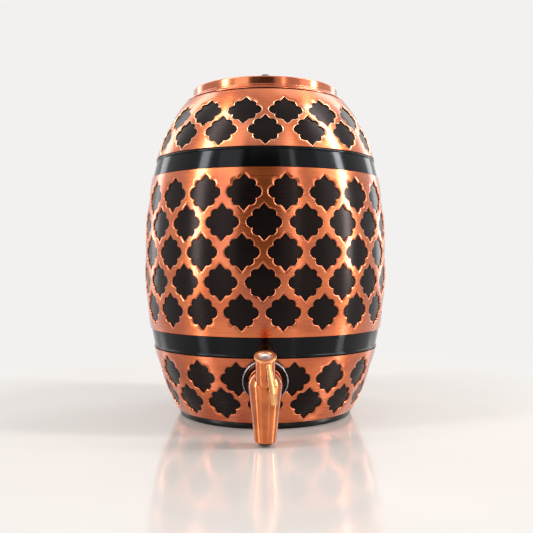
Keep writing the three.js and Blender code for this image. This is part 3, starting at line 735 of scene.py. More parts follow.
@dataclass
class PiercedJacket:
    """A sheet of copper round the barrel, pierced in a staggered lattice of four-lobed holes.

    The margins are shares of the height. The hole's half-sizes are shares of half the gap between
    two holes of a row, and of the step between rows. The lattice is turned by an angle, and drifts
    by another with each row. Near the front it is spread, by a share for each row and number of
    half pitches from the middle.
    """

    piece: Piece
    base: float
    height: float
    columns: int
    rows: int
    margins: tuple[float, float]
    hole: tuple[float, float]
    phase: int = 0
    turn: float = 0.0
    drift: float = 0.0
    spread: float = 0.0
    thickness: float = 0.9
    lip: float = 0.6
    outline: HoleOutline = HoleOutline()
    spread_shares: dict[tuple[int, int], float] = field(
        default_factory=lambda: {(1, 1): 1.0, (1, 2): 0.75, (0, 1): 0.1})

    @property
    def pitch(self) -> float:
        """Half the angle between two holes of a row."""
        return math.pi / self.columns

    @property
    def top(self) -> float:
        """The jacket's upper edge."""
        return self.base + self.height

    @property
    def row_step(self) -> float:
        """The height between two rows."""
        return self.height * (1 - sum(self.margins)) / (self.rows - 1)

    def row_height(self, row: int) -> float:
        """The height of a row. A row before the first or past the last is the jacket's edge."""
        inner = self.base + self.height * self.margins[0] + row * self.row_step
        return self.base if row < 0 else self.top if row >= self.rows else inner

    def node(self, row: int, column: int) -> tuple[float, float]:
        """A lattice point as an angle and a height.

        Args:
            row: the row, from -1 at the lower rim to the number of rows at the upper rim.
            column: the column, in half pitches.

        Returns:
            The angle from the front towards +X, and the height.
        """
        off = (column + self.columns) % (2 * self.columns) - self.columns
        extra = math.copysign(self.spread_shares.get((row, abs(off)), 0.0), off) * self.spread
        angle = (column + self.phase) * self.pitch + self.turn + row * self.drift + extra
        return angle, self.row_height(row)

    def cell(self, row: int, column: int, steps: int) -> np.ndarray:
        """The edge of a hole's cell, which is squared off where it meets the jacket's rim.

        Args:
            row: the hole's row.
            column: the hole's column.
            steps: the points in a quarter.

        Returns:
            Angles and heights, counter-clockwise from the right-hand corner.
        """
        top, bottom = row == self.rows - 1, row == 0
        right, left = self.node(row, column + 1), self.node(row, column - 1)
        up, down = self.node(row + 1, column), self.node(row - 1, column)
        quarters = (
            (right, up, top, (row + 1, column + 1)),
            (up, left, top, (row + 1, column - 1)),
            (left, down, bottom, (row - 1, column - 1)),
            (down, right, bottom, (row - 1, column + 1)),
        )
        walks = []
        for start, end, squared, corner in quarters:
            path = np.array([start, self.node(*corner), end] if squared else [start, end])
            at = np.arange(steps) / steps * (len(path) - 1)
            walks.append([np.interp(at, range(len(path)), path[:, k]) for k in (0, 1)])
        return np.concatenate(walks, 1).T

    def on_stave(self, at: np.ndarray, depth: float) -> np.ndarray:
        """Points a depth under the barrel's curve, from their angles and heights."""
        return around(STAVE.shell(at[..., 1], depth), at[..., 0], at[..., 1])

    def surface(self) -> Surface:
        """The whole jacket: each cell is a ring of quads between its edge and its hole's outline.

        Each ring is a mix of the cell's edge and of the outline, which is first pushed outwards
        along its own normal by a share of the lip's width.

        Returns:
            The surface.
        """
        middle = self.base + self.height / 2
        half_width = self.hole[0] * self.pitch * float(STAVE.radius(middle))
        half_height = self.hole[1] * self.row_step * math.hypot(1.0, float(STAVE.slope(middle)))
        flat = self.outline.shares() * [half_width, half_height]
        along = np.roll(flat, -1, 0) - np.roll(flat, 1, 0)
        normal = unit(np.stack([along[:, 1], -along[:, 0]], -1))
        parts = []
        for row in range(self.rows):
            for column in range(row % 2, 2 * self.columns, 2):
                angle, up = self.node(row, column)
                edge = self.cell(row, column, self.outline.quarter)
                rings = []
                for share, push, deep in SHEET_RINGS:
                    local = flat + normal * (push * self.lip)
                    height = np.clip(STAVE.climb(up, local[:, 1]), self.base, self.top)
                    own = np.stack([angle + local[:, 0] / STAVE.radius(up), height], -1)
                    mixed = own * (1 - share) + edge * share
                    rings.append(self.on_stave(mixed, deep * self.thickness))
                parts.append(grid(np.stack(rings, 1)))
        return joined([*parts, self.rim(-1), self.rim(self.rows)])

    def rim(self, row: int) -> Surface:
        """The narrow wall that closes the sheet along one of its edges.

        Args:
            row: -1 for the lower edge, or the number of rows for the upper one.

        Returns:
            The surface.
        """
        count = 2 * self.columns * (self.outline.quarter // 2)
        start, up = self.node(row, 0)
        turn = np.linspace(0.0, 2 * math.pi, count, endpoint=False) + start
        at = np.stack([turn, np.full(count, up)], -1)
        sides = [self.on_stave(at, 0.0), self.on_stave(at, self.thickness)]
        return grid(np.stack(sides if row >= 0 else sides[::-1], 1)[:, ::-1])

    def mark_highlit_lips(self, mesh: bpy.types.Mesh) -> None:
        """Mark the faces round the holes between the sheet's two sides for a paler finish: partly a
        polished cut edge, partly a painted highlight along the holes' rims.

        Args:
            mesh: the jacket's mesh, in metres.
        """
        inner, flush, reach, edge = -0.3, 0.985, 0.7, 0.05
        centres, normals = faces_of(mesh)
        x, y, up = centres.T
        radius, slope = np.hypot(x, y), STAVE.slope(up)
        lean = np.hypot(1.0, slope)
        facing = (normals * np.stack([x / radius, y / radius, -slope], -1)).sum(1) / lean
        depth = (STAVE.radius(up) - radius) / lean / self.thickness
        inside = np.minimum(up - self.base, self.top - up) > edge
        # These faces get the paler finish, which is partly a painted highlight.
        lips = (facing > inner) & (facing < flush) & (depth < reach) & inside
        mesh.polygons.foreach_set("material_index", lips.astype(np.int32))

    def build(self, cutters: Sequence[Surface] = ()) -> None:
        """Make the jacket.

        Args:
            cutters: solids cut from the sheet.
        """
        name, surface, sharp = self.piece.name, self.surface(), self.piece.sharp
        mesh = (carved(name, surface, [], cutters, sharp) if cutters
                else mesh_of(name, surface, sharp))
        self.mark_highlit_lips(mesh)
        self.piece.show(mesh, [POLISHED_LIP_AND_HIGHLIGHT])


@dataclass
class Barrel:
    """The vessel, its jackets and hoops, its foot and its mouth."""

    foot_height: float = 4.6
    gap: float = 0.3
    lower_panel: float = 47.8
    lower_hoop: float = 14.3
    middle_panel: float = 116.1
    upper_hoop: float = 14.4
    upper_panel: float = 44.2
    sheet_hole: float = 8.6
    wall_hole: float = 8.3
    hoop_inset: float = 0.9
    hoop_thickness: float = 0.75
    hoop_edge: tuple[float, float] = (0.35, 0.2)
    bead: float = 0.8
    bead_height: float = 1.8
    wall: float = 1.6
    wall_depth: float = 1.0
    wall_step: tuple[float, float] = (0.8, 1.8)
    belly_gap: float = 0.05
    shoulder_drop: float = 0.9
    neck_radius: float = 53.5
    neck_rise: float = 6.4
    collar_wall: float = 1.1
    collar_cap: float = 1.2

    @property
    def bases(self) -> list[float]:
        """The lower edges of the five bands, from the lower jacket to the upper one."""
        bands = (self.lower_panel, self.lower_hoop, self.middle_panel, self.upper_hoop)
        return [self.foot_height + (k + 1) * self.gap + sum(bands[:k]) for k in range(5)]

    @property
    def levels(self) -> tuple[float, float]:
        """The underside of the vessel's floor and the top of its shoulder."""
        return self.foot_height + self.gap, STAVE.seam - self.gap - self.shoulder_drop

    def panel(self, node: str) -> Piece:
        """The piece that stands for one of the jackets."""
        return Piece(f"pierced_{node}", node, Rides.BODY, Slot.COPPER, COPPER, 50.0)

    def jackets(self) -> list[PiercedJacket]:
        """Lay out the three pierced jackets.

        Returns:
            The jackets, from the foot up.
        """
        low, _, mid, _, high = self.bases
        return [
            PiercedJacket(self.panel("lower_jacket"), low, self.lower_panel, 16, 2,
                          (0.297, 0.316), (0.785, 0.67), spread=math.radians(2.2)),
            PiercedJacket(self.panel("middle_jacket"), mid, self.middle_panel, 20, 5,
                          (0.145, 0.148), (0.826, 0.64), phase=1, turn=math.radians(-1.3),
                          drift=math.radians(0.29)),
            PiercedJacket(self.panel("upper_jacket"), high, self.upper_panel, 16, 2,
                          (0.277, 0.388), (0.8, 0.72)),
        ]

    def hoop(self, base: float, height: float, bead_on_top: bool) -> Surface:
        """A hoop: the stave's curve set in, with a half-round bead along one edge.

        Args:
            base: the hoop's lower edge.
            height: the hoop's height.
            bead_on_top: whether the bead is along the upper edge.

        Returns:
            The turned surface.
        """
        up = np.linspace(base, base + height, 97)
        half = self.bead_height / 2
        edge = base + height - half if bead_on_top else base + half
        near = np.clip(1 - ((up - edge) / half) ** 2, 0.0, None)
        reach, drop = self.hoop_edge
        corner = np.clip(1 - np.minimum(up - base, base + height - up) / reach, 0.0, 1.0)
        face = STAVE.shell(up, self.hoop_inset) + self.bead * np.sqrt(near) - drop * corner**2
        back = STAVE.shell(up, self.hoop_inset + self.hoop_thickness)
        line = np.concatenate([np.stack([face, up], -1), np.stack([back, up], -1)[::-1]])
        return turned(line, FINE_SIDES)

    def depth(self, up: np.ndarray) -> np.ndarray:
        """How deep the vessel's face lies: close behind the jackets, further in at the hoops.

        Args:
            up: heights above the table.

        Returns:
            The depths.
        """
        deep = self.hoop_inset + self.hoop_thickness + self.gap
        _, low, _, high, _ = self.bases
        spans = ((low, low + self.lower_hoop), (high, high + self.upper_hoop))
        near = np.min([np.maximum(start - up, up - end) for start, end in spans], axis=0)
        return np.interp(near, self.wall_step, [deep, self.wall_depth])

    def floor_plate(self) -> np.ndarray:
        """The profile of the vessel's floor.

        Returns:
            Pairs of radius and height.
        """
        low = self.levels[0]
        up = np.linspace(low, low + self.wall, 6)
        side = np.stack([STAVE.shell(up, self.depth(up)), up], -1)
        return np.concatenate([[[0.0, low]], side, [[0.0, low + self.wall]]])

    def half_wall(self, low: float, high: float) -> np.ndarray:
        """The profile of one half of the vessel's bulging wall.

        Args:
            low: its lower edge.
            high: its upper edge.

        Returns:
            The closed profile.
        """
        out, inn = np.linspace(low, high, 110), np.linspace(low, high, 40)[::-1]
        deep = self.hoop_inset + self.hoop_thickness + self.gap + self.wall
        face = np.stack([STAVE.shell(out, self.depth(out)), out], -1)
        return np.concatenate([face, np.stack([STAVE.shell(inn, deep), inn], -1)])

    def shoulder_profile(self) -> np.ndarray:
        """The profile of the vessel's flat shoulder and upright neck.

        Returns:
            Pairs of radius and height.
        """
        high, neck = self.levels[1], self.neck_radius
        low, top, inner = high - self.wall, high + self.neck_rise, neck - self.wall
        out = STAVE.shell(np.array([low, high]), self.wall_depth)
        return rounded([
            (inner, low, 1.0), (out[0], low, 0.2), (out[1], high, 0.3), (neck, high, 1.2),
            (neck, top, 0.3), (inner, top, 0.3),
        ], closed=True)

    def foot(self) -> np.ndarray:
        """The foot's profile: a pad, a shallow recess and a rim on the table.

        Returns:
            Pairs of radius and height.
        """
        recess, top = 1.2, self.foot_height
        return rounded([
            (0, 0, 0), (26, 0, 0.3), (27.2, recess, 0.3), (57.6, recess, 0.3), (58.8, 0, 0.3),
            (67.0, 0, 0.9), (67.8, top / 2, 1.2), (67.2, top, 0.6), (0, top, 0),
        ])

    def collar(self) -> np.ndarray:
        """The mouth collar's profile: a rolled cap over the neck's raw edge.

        Returns:
            Pairs of radius and height.
        """
        low = STAVE.seam - self.shoulder_drop
        under = self.levels[1] + self.neck_rise + self.gap
        top, inner = under + self.collar_cap, self.neck_radius - self.wall
        reach = self.neck_radius + self.gap
        outer = reach + self.collar_wall
        return rounded([
            (reach, low, 0), (outer, low, 0.2), (outer, top, 0.9), (inner, top, 0.5),
            (inner, under, 0.2), (reach, under, 0),
        ], closed=True)

    def build(self) -> None:
        """Make the barrel's pieces."""
        at_tap, body = TAP.wall_place(), Rides.BODY
        for jacket in self.jackets():
            pierced = jacket.piece.node == "lower_jacket"
            jacket.build([plug(self.sheet_hole, -6, 6).moved(at_tap)] if pierced else [])
        _, low, _, high, _ = self.bases
        for place, base, height in (("lower", low, self.lower_hoop),
                                    ("upper", high, self.upper_hoop)):
            name = f"{place}_hoop"
            piece = Piece(f"{name}_gloss", name, body, Slot.LACQUER, HOOP_BLACK, 60.0)
            piece.build(self.hoop(base, height, place == "upper"))
        belly, plate = STAVE.belly_height, self.wall + self.gap
        lower = turned(self.half_wall(self.levels[0] + plate, belly), FINE_SIDES)
        upper = self.half_wall(belly + self.belly_gap, self.levels[1] - plate)
        Piece("dark_lower_half", "vessel_lower_half", body, Slot.LACQUER, FIELD).show(
            carved("dark_lower_half", lower, [], [plug(self.wall_hole, -12, 12).moved(at_tap)]))
        for part, profile in (("upper_half", upper), ("floor", self.floor_plate()),
                              ("shoulder", self.shoulder_profile())):
            piece = Piece(f"dark_{part}", f"vessel_{part}", body, Slot.LACQUER, FIELD)
            piece.build(turned(profile, FINE_SIDES, part != "floor"))
        foot, mouth = turned(self.foot(), 192, False), turned(self.collar())
        Piece("foot_base", "foot", body, Slot.BASE, BASE_BLACK).build(foot)
        Piece("mouth_ring", "mouth_collar", body, Slot.COPPER, LID_COPPER).build(mouth)


@dataclass
class Lid:
    """The spun lid and its small turned knob."""

    skirt: float = 57.4
    flare: float = 62.8
    rise: float = 10.6
    lip_height: float = 4.2
    crown: float = 1.6
    sheet: float = 1.0
    bore: float = 2.3
    knob_seat: float = 8.6
    knob_radius: float = 5.6
    knob_rise: float = 8.9
    knob_half: float = 4.5

    def profile(self) -> np.ndarray:
        """The lid's profile: flared lip, bead, upright skirt, rolled edge and shallow crown.

        Returns:
            Pairs of radius and height.
        """
        seam, top, skirt, seat = STAVE.seam, STAVE.seam + self.rise, self.skirt, self.knob_seat
        lip, crown = seam + self.lip_height, top + self.crown
        inside, under, low = skirt - self.sheet, top - self.sheet, seam + 0.7
        return rounded([
            (self.flare, low, 0.15), (self.flare, low + 0.6, 0.25), (60.2, seam + 2.1, 1.0),
            (skirt + 0.7, lip - 0.9, 0.5), (skirt + 0.75, lip + 0.1, 0.3), (skirt, lip + 0.6, 0.25),
            (skirt, top, 1.1), (skirt - 4.0, top + 0.05, 1.5), (seat, crown, 1.5),
            (self.bore, crown, 0), (self.bore, crown - self.sheet, 0),
            (seat, crown - self.sheet, 1.5), (skirt - 4, under, 1.0), (inside, under, 1.0),
            (inside, lip, 0.6), (60.9, low, 0.1),
        ], closed=True)

    def knob(self) -> np.ndarray:
        """The knob's profile: a flange, a waist and a flattened ball.

        Returns:
            Pairs of radius and height.
        """
        base = STAVE.seam + self.rise + self.crown + 0.3
        swing = np.radians(np.linspace(-50.0, 90.0, 40))
        wide, bore, end = self.knob_radius, self.bore, base + 8.3
        up = base + self.knob_rise + self.knob_half * np.sin(swing)
        ball = np.stack([wide * np.cos(swing), up], -1)
        ball[-1, 0] = 0.0
        stem = rounded([
            (0, end, 0), (bore, end, 0), (bore, base, 0), (wide, base, 0.3),
            (wide, base + 1.1, 0.4), (3.5, base + 2.3, 1.0), (3.55, base + 4.6, 0),
        ])
        return np.concatenate([stem, ball])

    def build(self) -> None:
        """Make the lid's pieces."""
        sheet, knob = turned(self.profile(), FINE_SIDES), turned(self.knob(), 96, False)
        Piece("spun_lid", "lid", Rides.LID, Slot.COPPER, LID_COPPER).build(sheet)
        Piece("turned_knob", "lid_knob", Rides.LID, Slot.KNOB, KNOB_GREY).build(knob)


@dataclass
class Tap:
    """The spout tap: bell, shank, cover ring, and the handle on the bell's slanted seat."""

    height: float = 38.0
    reach: float = 30.2
    bell: float = 11.3
    bell_rise: float = 1.2
    spout: float = 7.1
    spout_bore: float = 4.9
    spout_low: float = 3.0
    waterway_top: float = -15.3
    chamber: float = 5.5
    chamber_depth: float = 17.75
    shank_bore: float = 4.2
    shank_back: float = 16.25
    seat_forward: float = 4.8
    seat_rise: float = 1.3
    lean: float = math.radians(23.0)
    rest: float = math.radians(16.0)
    sleeve: float = 6.35
    sleeve_wall: float = 0.95
    sleeve_height: float = 18.2
    pin: float = 1.0
    cap: float = 7.1
    cap_height: float = 1.5
    cap_bore: float = 1.6
    strip: float = 1.0
    strip_edge: float = 0.22
    strip_widths: tuple[float, float, float] = (2.9, 4.9, 4.2)
    fold: tuple[float, float] = (11.0, 14.4)
    tab: tuple[float, float] = (2.75, 6.4)
    tab_round: float = 0.9
    ring: float = 15.9
    ring_bore: float = 8.3
    ring_rim: float = 15.2

    @property
    def length(self) -> float:
        """From the middle of the bell's shoulder down to the spout's lower end."""
        return self.height + self.bell_rise - self.spout_low

    @property
    def pin_circle(self) -> float:
        """How far the stop pin stands from the handle's axis: the middle of the sleeve's wall."""
        return self.sleeve - self.sleeve_wall / 2

    def wall_place(self) -> np.ndarray:
        """Where the shank passes square through the barrel's wall."""
        at = (0, -float(STAVE.radius(self.height)), self.height)
        return placed(at, math.atan(float(STAVE.slope(self.height))), True)

    def bell_place(self) -> np.ndarray:
        """The middle of the bell's round shoulder, upright."""
        out = float(STAVE.radius(self.height)) + self.reach
        return placed((0, -out, self.height + self.bell_rise), 0.0)

    def handle_place(self, spin: float = 0.0) -> np.ndarray:
        """The slanted seat that the handle turns on, turned about its own axis by the spin."""
        _, y, up = self.bell_place()[:3, 3]
        return placed((0, y - self.seat_forward, up + self.seat_rise), self.lean, spin=spin)

    def body(self) -> bpy.types.Mesh:
        """The casting: bell and spout, neck, shank and flange, cut by the seat and the bores.

        Returns:
            The mesh.
        """
        low, back = -self.length, self.shank_back
        past = 4  # how far a cutter reaches beyond the metal
        swing = np.radians(np.linspace(0.0, 90.0, 30))
        dome = self.bell * np.stack([np.cos(swing), np.sin(swing)], -1)
        dome[-1, 0] = 0.0
        side = rounded([
            (0, low, 0), (self.spout - 0.5, low, 0), (self.spout, low + 0.5, 0.4),
            (10.15, low / 4, 7.5), (self.bell, 0, 0),
        ], steps=10)
        bell = turned(np.concatenate([side[:-1], dome]), 128, False).moved(self.bell_place())
        neck = turned(rounded([
            (0, -back, 0), (8, -back, 0.4), (8, 2.2, 0), (11.6, 2.2, 0.3), (11.6, 4.2, 0.5),
            (8.9, 4.7, 0.8), (8.0, 6.5, 1.5), (8.0, 17.5, 3.0), (8.9, 24.0, 0), (0, 24.0, 0),
        ]), 96, False).moved(self.wall_place())
        pin = plug(self.pin, -2.3, past, 24)
        pin.points[:, 1] += self.pin_circle
        seat = plug(self.sleeve + 0.2, 0, 40)
        chamber = plug(self.chamber, -self.chamber_depth, past)
        waterway = plug(self.spout_bore, low - past, self.waterway_top)
        shank = plug(self.shank_bore, -back - past, self.reach)
        cuts = [cut.moved(self.handle_place()) for cut in (seat, chamber, pin)]
        cuts += [waterway.moved(self.bell_place()), shank.moved(self.wall_place())]
        return carved("tap_casting", bell, [neck], cuts)

    def cover_ring(self) -> Surface:
        """The dished ring against the barrel, its back pushed along the shank onto the wall.

        Returns:
            The surface.
        """
        outer, bore = self.ring, self.ring_bore
        front = rounded([
            (bore, 1.2, 0), (bore, 1.9, 0.3), (12.4, 1.9, 1.4), (14.5, 3.1, 0.4),
            (self.ring_rim, 3.5, 0.4), (outer, 3.0, 0.4), (outer, 2.0, 0),
        ])
        sides, rounds, step = 128, 12, 0.9
        angle = np.linspace(0, 2 * math.pi, sides, endpoint=False)[:, None]
        radius = np.concatenate([front[:, 0], [outer, outer - 0.3, bore + 0.3, bore]])[None, :]
        up = np.tile(np.concatenate([front[:, 1], np.zeros(4)]), (sides, 1))
        place, back = self.wall_place(), slice(len(front), None)
        for _ in range(rounds):
            points = around(radius, angle, up) @ place[:3, :3].T + place[:3, 3]
            off = np.hypot(points[..., 0], points[..., 1]) - STAVE.radius(points[..., 2]) - 0.3
            up[:, back] -= step * off[:, back]
        up[:, len(front)] += 0.4
        return grid(around(radius, angle, up)[:, ::-1], True, True).moved(place)

    def lever(self) -> Surface:
        """The strip: a soft-cornered oblong carried along a bent line that widens to its fold.

        Returns:
            The strip, in the handle's own place.
        """
        level, root = self.sleeve_height + 0.3 + self.strip / 2, self.sleeve + self.strip / 2
        fold = (root + self.fold[0], level - self.fold[1])
        tip = (fold[0] + self.tab[0], fold[1] - self.tab[1])
        bent = rounded([(1.9, level, 0), (root, level, 0.9), (*fold, 0.6), (*tip, 0)], steps=10)
        line, along = evenly(bent, 200)
        way = unit(np.gradient(line, axis=0))
        left = along[-1] - along
        end = np.sqrt(np.clip(1 - np.clip(1 - left / self.tab_round, 0, 1) ** 2, 0.02, 1))
        width = np.interp(line[:, 0], [root, fold[0], fold[0] + 0.9], self.strip_widths)
        width *= (0.7 + 0.3 * end) / 2
        edge, quarter = self.strip_edge, np.linspace(0, math.pi / 2, 5)
        corner = np.repeat([[1, 1], [-1, 1], [-1, -1], [1, -1]], 5, 0)
        swing = (np.arange(4)[:, None] * math.pi / 2 + quarter).reshape(-1, 1)
        side = corner[:, :1] * (width - edge) + edge * np.cos(swing)
        face = corner[:, 1:] * (self.strip / 2 - edge) + edge * np.sin(swing)
        points = np.stack([
            side, -(line[:, 0] - way[:, 1] * face), line[:, 1] + way[:, 0] * face
        ], -1)
        tips = np.repeat(points[:, [0, -1]].mean(0, keepdims=True), len(points), 0)
        return grid(np.concatenate([tips[:, :1], points, tips[:, 1:]], 1))

    def notch(self) -> Surface:
        """The cutter of the sleeve's notch: an oblong swept through the handle's quarter turn.

        Returns:
            The surface.
        """
        count = 48
        allow = math.asin(self.pin / self.pin_circle)
        angle = np.linspace(math.pi / 2 - allow, math.pi + allow, count)[:, None]
        inner, outer = self.sleeve - self.sleeve_wall - 0.3, self.sleeve + 4
        ring = around(np.array([[inner, outer, outer, inner]]), angle, np.array([-4, -4, 1.5, 1.5]))
        ends = np.repeat(ring[[0, -1]].mean(1, keepdims=True), 4, 1)
        return grid(np.concatenate([ends[:1], ring, ends[1:]]), False, True)

    def slot(self) -> Surface:
        """The cutter of the slot that the strip leaves the sleeve by: a block with closed ends.

        Returns:
            The surface.
        """
        near, far, low = -self.sleeve - 1.0, 0.9 - self.sleeve, self.sleeve_height
        ring = np.array([[-1.6, near], [1.6, near], [1.6, far], [-1.6, far]])
        middle = np.repeat(ring.mean(0, keepdims=True), 4, 0)
        walls = ((middle, low), (ring, low), (ring, low + 2.0), (middle, low + 2.0))
        return grid(np.stack([np.c_[at, np.full(4, up)] for at, up in walls], 1))

    def build(self) -> None:
        """Make the tap's pieces."""
        self.build_fixed()
        self.build_handle()

    def build_fixed(self) -> None:
        """Make the casting, its cover ring with a paler rim that is a painted highlight, and the
        spout's lining.
        """
        body, place = Rides.BODY, self.wall_place()
        Piece("tap_casting", "tap_body", body, Slot.COPPER, TAP_COPPER, 35.0).show(self.body())
        ring = mesh_of("cover_ring", self.cover_ring(), 50.0)
        x, y, up = ((faces_of(ring)[0] - place[:3, 3]) @ place[:3, :3]).T
        # The ring's outer rim gets the grey finish: a painted highlight along its edge.
        rim = (np.hypot(x, y) > self.ring_rim) & (up > 1.6)
        ring.polygons.foreach_set("material_index", rim.astype(np.int32))
        piece = Piece("cover_ring", "tap_escutcheon", body, Slot.PLASTIC, RING_BLACK)
        piece.show(ring, [RIM_PAINTED_HIGHLIGHT])
        low = -self.length
        lining = turned(rounded([
            (3.2, low - 1.6, 0.2), (4.3, low - 1.6, 0.4), (4.6, low, 0.3), (4.6, low + 6, 0.2),
            (3.2, low + 6, 0.2),
        ], closed=True), 96).moved(self.bell_place())
        Piece("spout_lining", "spout_insert", body, Slot.RUBBER, RUBBER).build(lining)

    def build_handle(self) -> None:
        """Make what turns: the sleeve, the strip on its hub, the cap and its dished disc."""
        hand, turning = Rides.HANDLE, self.handle_place(self.rest)
        top, bore, hole = self.sleeve_height, self.sleeve - self.sleeve_wall, self.cap_bore
        rim = top + self.strip + 0.45
        sleeve = turned(rounded([
            (bore, 0.1, 0.1), (self.sleeve, 0.1, 0.25), (self.sleeve, rim, 0.2), (bore, rim, 0.1),
            (bore, top, 0.1), (2.6, top, 0), (2.6, top - 1.9, 0), (bore, top - 1.9, 0.2),
        ], closed=True), 128)
        cuts = [cut.moved(turning) for cut in (self.notch(), self.slot())]
        Piece("turning_sleeve", "handle_sleeve", hand, Slot.COPPER, TAP_COPPER).show(
            carved("turning_sleeve", sleeve.moved(turning), [], cuts))
        hub = turned(rounded([
            (hole, top + 0.3, 0.1), (bore - 0.2, top + 0.3, 0.2), (bore - 0.2, top + 1.3, 0.2),
            (hole, top + 1.3, 0.1),
        ], closed=True), 96)
        Piece("lever_strip", "handle_lever", hand, Slot.PALE_COPPER, PALE_STRIP, 50.0).show(
            carved("lever_strip", self.lever().moved(turning), [hub.moved(turning)], []))
        base, high = rim + 0.1, rim + 0.1 + self.cap_height
        cap = turned(rounded([
            (hole, base, 0), (self.cap, base, 0.25), (self.cap, high, 0.3), (4.8, high, 0.15),
            (4.55, high - 0.3, 0.1), (4.5, high - 1.25, 0.1), (hole, high - 1.25, 0),
        ], closed=True), 128)
        Piece("handle_top", "handle_cap", hand, Slot.COPPER, CAP_COPPER).build(cap.moved(turning))
        seat = high - 1.2
        disc = turned(rounded([
            (0, seat - 8.7, 0), (1.3, seat - 8.7, 0.2), (1.3, seat, 0.1), (4.35, seat, 0.1),
            (4.35, seat + 0.55, 0.15), (3.7, seat + 0.55, 0.3), (2.2, seat + 0.12, 1.1),
            (0, seat, 0),
        ]), 96, False)
        Piece("dished_disc", "handle_screw", hand, Slot.SILVER, SILVER).build(disc.moved(turning))


TAP = Tap()


@dataclass
class InnerPieces:
    """The CAD pieces that stay as they are and only get their finishes."""

    finishes: dict[str, Finish] = field(default_factory=lambda: {
        "lid_washer": BRASS, "lid_screw": BRASS, "tap_seal": SILICONE, "tap_washer": SILVER,
        "tap_lock_nut": BRASS, "valve_spindle": BRASS, "spindle_ring_upper": RUBBER,
        "spindle_ring_lower": RUBBER, "gland_nut": BRASS, "stop_pin": SILVER,
    })

    def build(self) -> None:
        """Dress the carried-over nodes."""
        for name, finish in self.finishes.items():
            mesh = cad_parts[name].data
            mesh.materials.clear()
            mesh.materials.append(dress(finish))
            LOG.info("%s: dressed as %s", name, finish.name)


@dataclass(frozen=True)
class Lamp:
    """A soft oblong lamp, in metres and watts. Its bearing is in degrees from the front to +X."""

    name: str
    bearing: float
    up: float
    size: tuple[float, float]
    power: float
    colour: Colour = (1.0, 1.0, 1.0)
    away: float = 1.2
    aimed_at: float = 0.12

    def hang(self) -> None:
        """Add the lamp, aimed at the middle of the barrel."""
        data = bpy.data.lights.new(self.name, "AREA")
        data.shape, data.size, data.size_y = "RECTANGLE", *self.size
        data.energy, data.color = self.power, self.colour
        made = bpy.data.objects.new(self.name, data)
        made.location = around(self.away, math.radians(self.bearing), self.up)
        aim = Vector((0.0, 0.0, self.aimed_at)) - made.location
        made.rotation_euler = aim.to_track_quat("-Z", "Y").to_euler()
        bpy.context.scene.collection.objects.link(made)


LAMPS = (
    Lamp("left_window", -64.5, 0.75, (0.2, 1.8), 15.5),
    Lamp("left_soft", -36.0, 0.75, (0.5, 1.8), 3.4),
    Lamp("right_window", 80.5, 0.75, (0.17, 1.8), 22.0),
    Lamp("right_soft", 64.0, 0.75, (0.4, 1.8), 2.4),
    Lamp("back_left", -126.0, 0.7, (0.3, 1.6), 5.0),
    Lamp("back_right", 134.0, 0.7, (0.3, 1.6), 4.5),
    Lamp("slim_strip", 28.0, 0.5, (0.09, 1.4), 1.7, (1.0, 0.91, 0.76)),
    Lamp("front_fill", 4.0, 1.4, (1.0, 0.5), 1.2),
    Lamp("top_soft", 150.0, 1.5, (1.0, 1.0), 4.0, away=0.5),
)


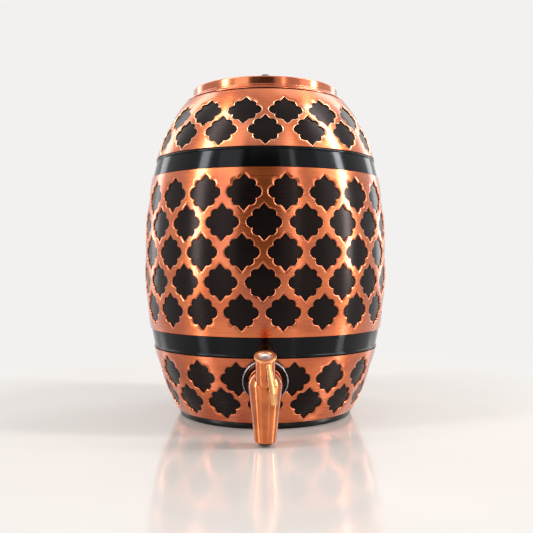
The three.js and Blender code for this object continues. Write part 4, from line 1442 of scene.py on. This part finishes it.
@dataclass
class Studio:
    """A pale floor and backdrop, soft lamps and a level camera.

    The focal length, the picture's side and the place of the barrel's axis in it are in pixels.
    The floor's gloss changes and fades between distances from the axis that are in metres.
    """

    distance: float = 584.0
    eye: float = 120.5
    focal: float = 728.0
    picture_side: float = 533.0
    sensor: float = 36.0
    axis_at: tuple[float, float] = (265.3, 259.65)
    backdrop: Colour = (0.95, 0.945, 0.94)
    fill: float = 0.32
    floor_reach: float = 3000.0
    floor_shades: tuple[Colour, Colour] = ((0.80, 0.775, 0.755), (0.85, 0.825, 0.805))
    floor_gloss: tuple[float, float] = (0.12, 0.7)
    floor_ior: float = 1.8
    gloss_ends: tuple[float, float] = (0.27, 0.5)
    floor_fade: tuple[float, float] = (0.2, 0.44)
    board_height: float = 1500.0

    def camera(self) -> None:
        """A level camera that looks along +Y, shifted so that the axis falls where it should."""
        size = self.picture_side
        data = bpy.data.cameras.new("camera")
        data.sensor_width = self.sensor
        data.lens = self.sensor * self.focal / size
        data.shift_x = (size / 2 - self.axis_at[0]) / size
        data.shift_y = (self.axis_at[1] - size / 2) / size
        data.clip_start = 0.01
        made = bpy.data.objects.new("camera", data)
        made.location = (0.0, -self.distance * MM, self.eye * MM)
        made.rotation_euler = (math.pi / 2, 0.0, 0.0)
        bpy.context.scene.collection.objects.link(made)
        bpy.context.scene.camera = made

    def floor(self) -> None:
        """A wide pale floor with a soft gloss, which fades into the backdrop further out."""
        across = np.linspace(-self.floor_reach, self.floor_reach, 13)
        points = np.stack(np.meshgrid(across, across, [0.0], indexing="ij"), -1)[:, :, 0]
        graph = Graph("floor_pale")
        slow = graph.noise((6.0, 6.0, 6.0))
        at = graph.place((1.0, 1.0, 1.0))
        out = graph.node("ShaderNodeVectorMath", {0: at}, operation="LENGTH").outputs["Value"]
        pale = graph.node("ShaderNodeBsdfPrincipled", {
            "Base Color": graph.blend(slow, *self.floor_shades),
            "Roughness": graph.spread(out, *self.gloss_ends, *self.floor_gloss),
            "IOR": self.floor_ior,
        }).outputs[0]
        glow = graph.node("ShaderNodeEmission", {"Color": linear(self.backdrop)}).outputs[0]
        far = graph.combine(graph.spread(out, *self.floor_fade), self.shown(graph), "MULTIPLY")
        graph.close("ShaderNodeOutputMaterial", far, pale, glow)
        self.stand("floor", grid(points, False), graph.material)

    def shown(self, graph: Graph) -> Socket:
        """Tell the rays that show the backdrop: the camera's, mirrored ones and refracted ones.

        Args:
            graph: the graph that asks.

        Returns:
            One for those rays, and nought for all others.
        """
        rays = graph.node("ShaderNodeLightPath").outputs
        mirrored = graph.combine(rays["Is Camera Ray"], rays["Is Glossy Ray"], "MAXIMUM")
        return graph.combine(mirrored, rays["Is Transmission Ray"], "MAXIMUM")

    def stand(self, name: str, surface: Surface, material: bpy.types.Material) -> bpy.types.Object:
        """Put a piece of the studio in place.

        Args:
            name: its name.
            surface: its surface, in millimetres.
            material: its material.

        Returns:
            The new object.
        """
        mesh = mesh_of(name, surface)
        mesh.materials.append(material)
        made = bpy.data.objects.new(name, mesh)
        bpy.context.scene.collection.objects.link(made)
        return made

    def board(self, name: str, bearing: float, width: float, shade: float, away: float) -> None:
        """An upright grey board outside the picture, which darkens part of what the metal mirrors.

        Args:
            name: the board's name.
            bearing: its angle from the front towards +X, in degrees.
            width: the angle that it covers, in degrees.
            shade: how light it is, from 0 to 1.
            away: how far it stands from the axis, in millimetres.
        """
        turn = np.radians(bearing + width * np.linspace(-0.5, 0.5, 9))[:, None]
        up = np.linspace(0.0, self.board_height, 5)[None, :]
        graph = Graph(f"{name}_grey")
        grain = graph.noise((4.0, 4.0, 4.0))
        material = graph.finish({
            "Base Color": graph.blend(grain, (shade,) * 3, (shade + 0.05,) * 3),
            "Roughness": 0.9,
        })
        surface = grid(around(away + 0 * up, turn, up), False)
        self.stand(name, surface, material).visible_camera = False

    def world(self) -> None:
        """An even pale surround, as bright as the backdrop where it shows and softer as light."""
        world = bpy.data.worlds.new("surround")
        bpy.context.scene.world = world
        world.use_nodes = True
        graph = Graph("surround", world.node_tree)
        light, back = (
            graph.node("ShaderNodeBackground", {"Color": linear(self.backdrop), "Strength": power})
            for power in (self.fill, 1.0)
        )
        share = self.shown(graph)
        graph.close("ShaderNodeOutputWorld", share, light.outputs[0], back.outputs[0])

    def build(self) -> None:
        """Make the floor, the surround, the lamps and the camera."""
        self.camera()
        self.floor()
        self.world()
        for lamp in LAMPS:
            lamp.hang()
        self.board("front_board", bearing=-6.0, width=42.0, shade=0.32, away=1600.0)
        self.board("middle_board", bearing=2.0, width=17.0, shade=0.18, away=1500.0)
        bpy.context.scene.view_settings.view_transform = "Standard"


def main() -> None:
    """Build every sub-assembly in order and write how large the result is."""
    logging.basicConfig(level=logging.INFO, format="%(name)s: %(message)s")
    for part in (Barrel(), Lid(), TAP, InnerPieces(), Studio()):
        part.build()
        LOG.info("built %s", type(part).__name__)


if __name__ == "__main__":
    main()
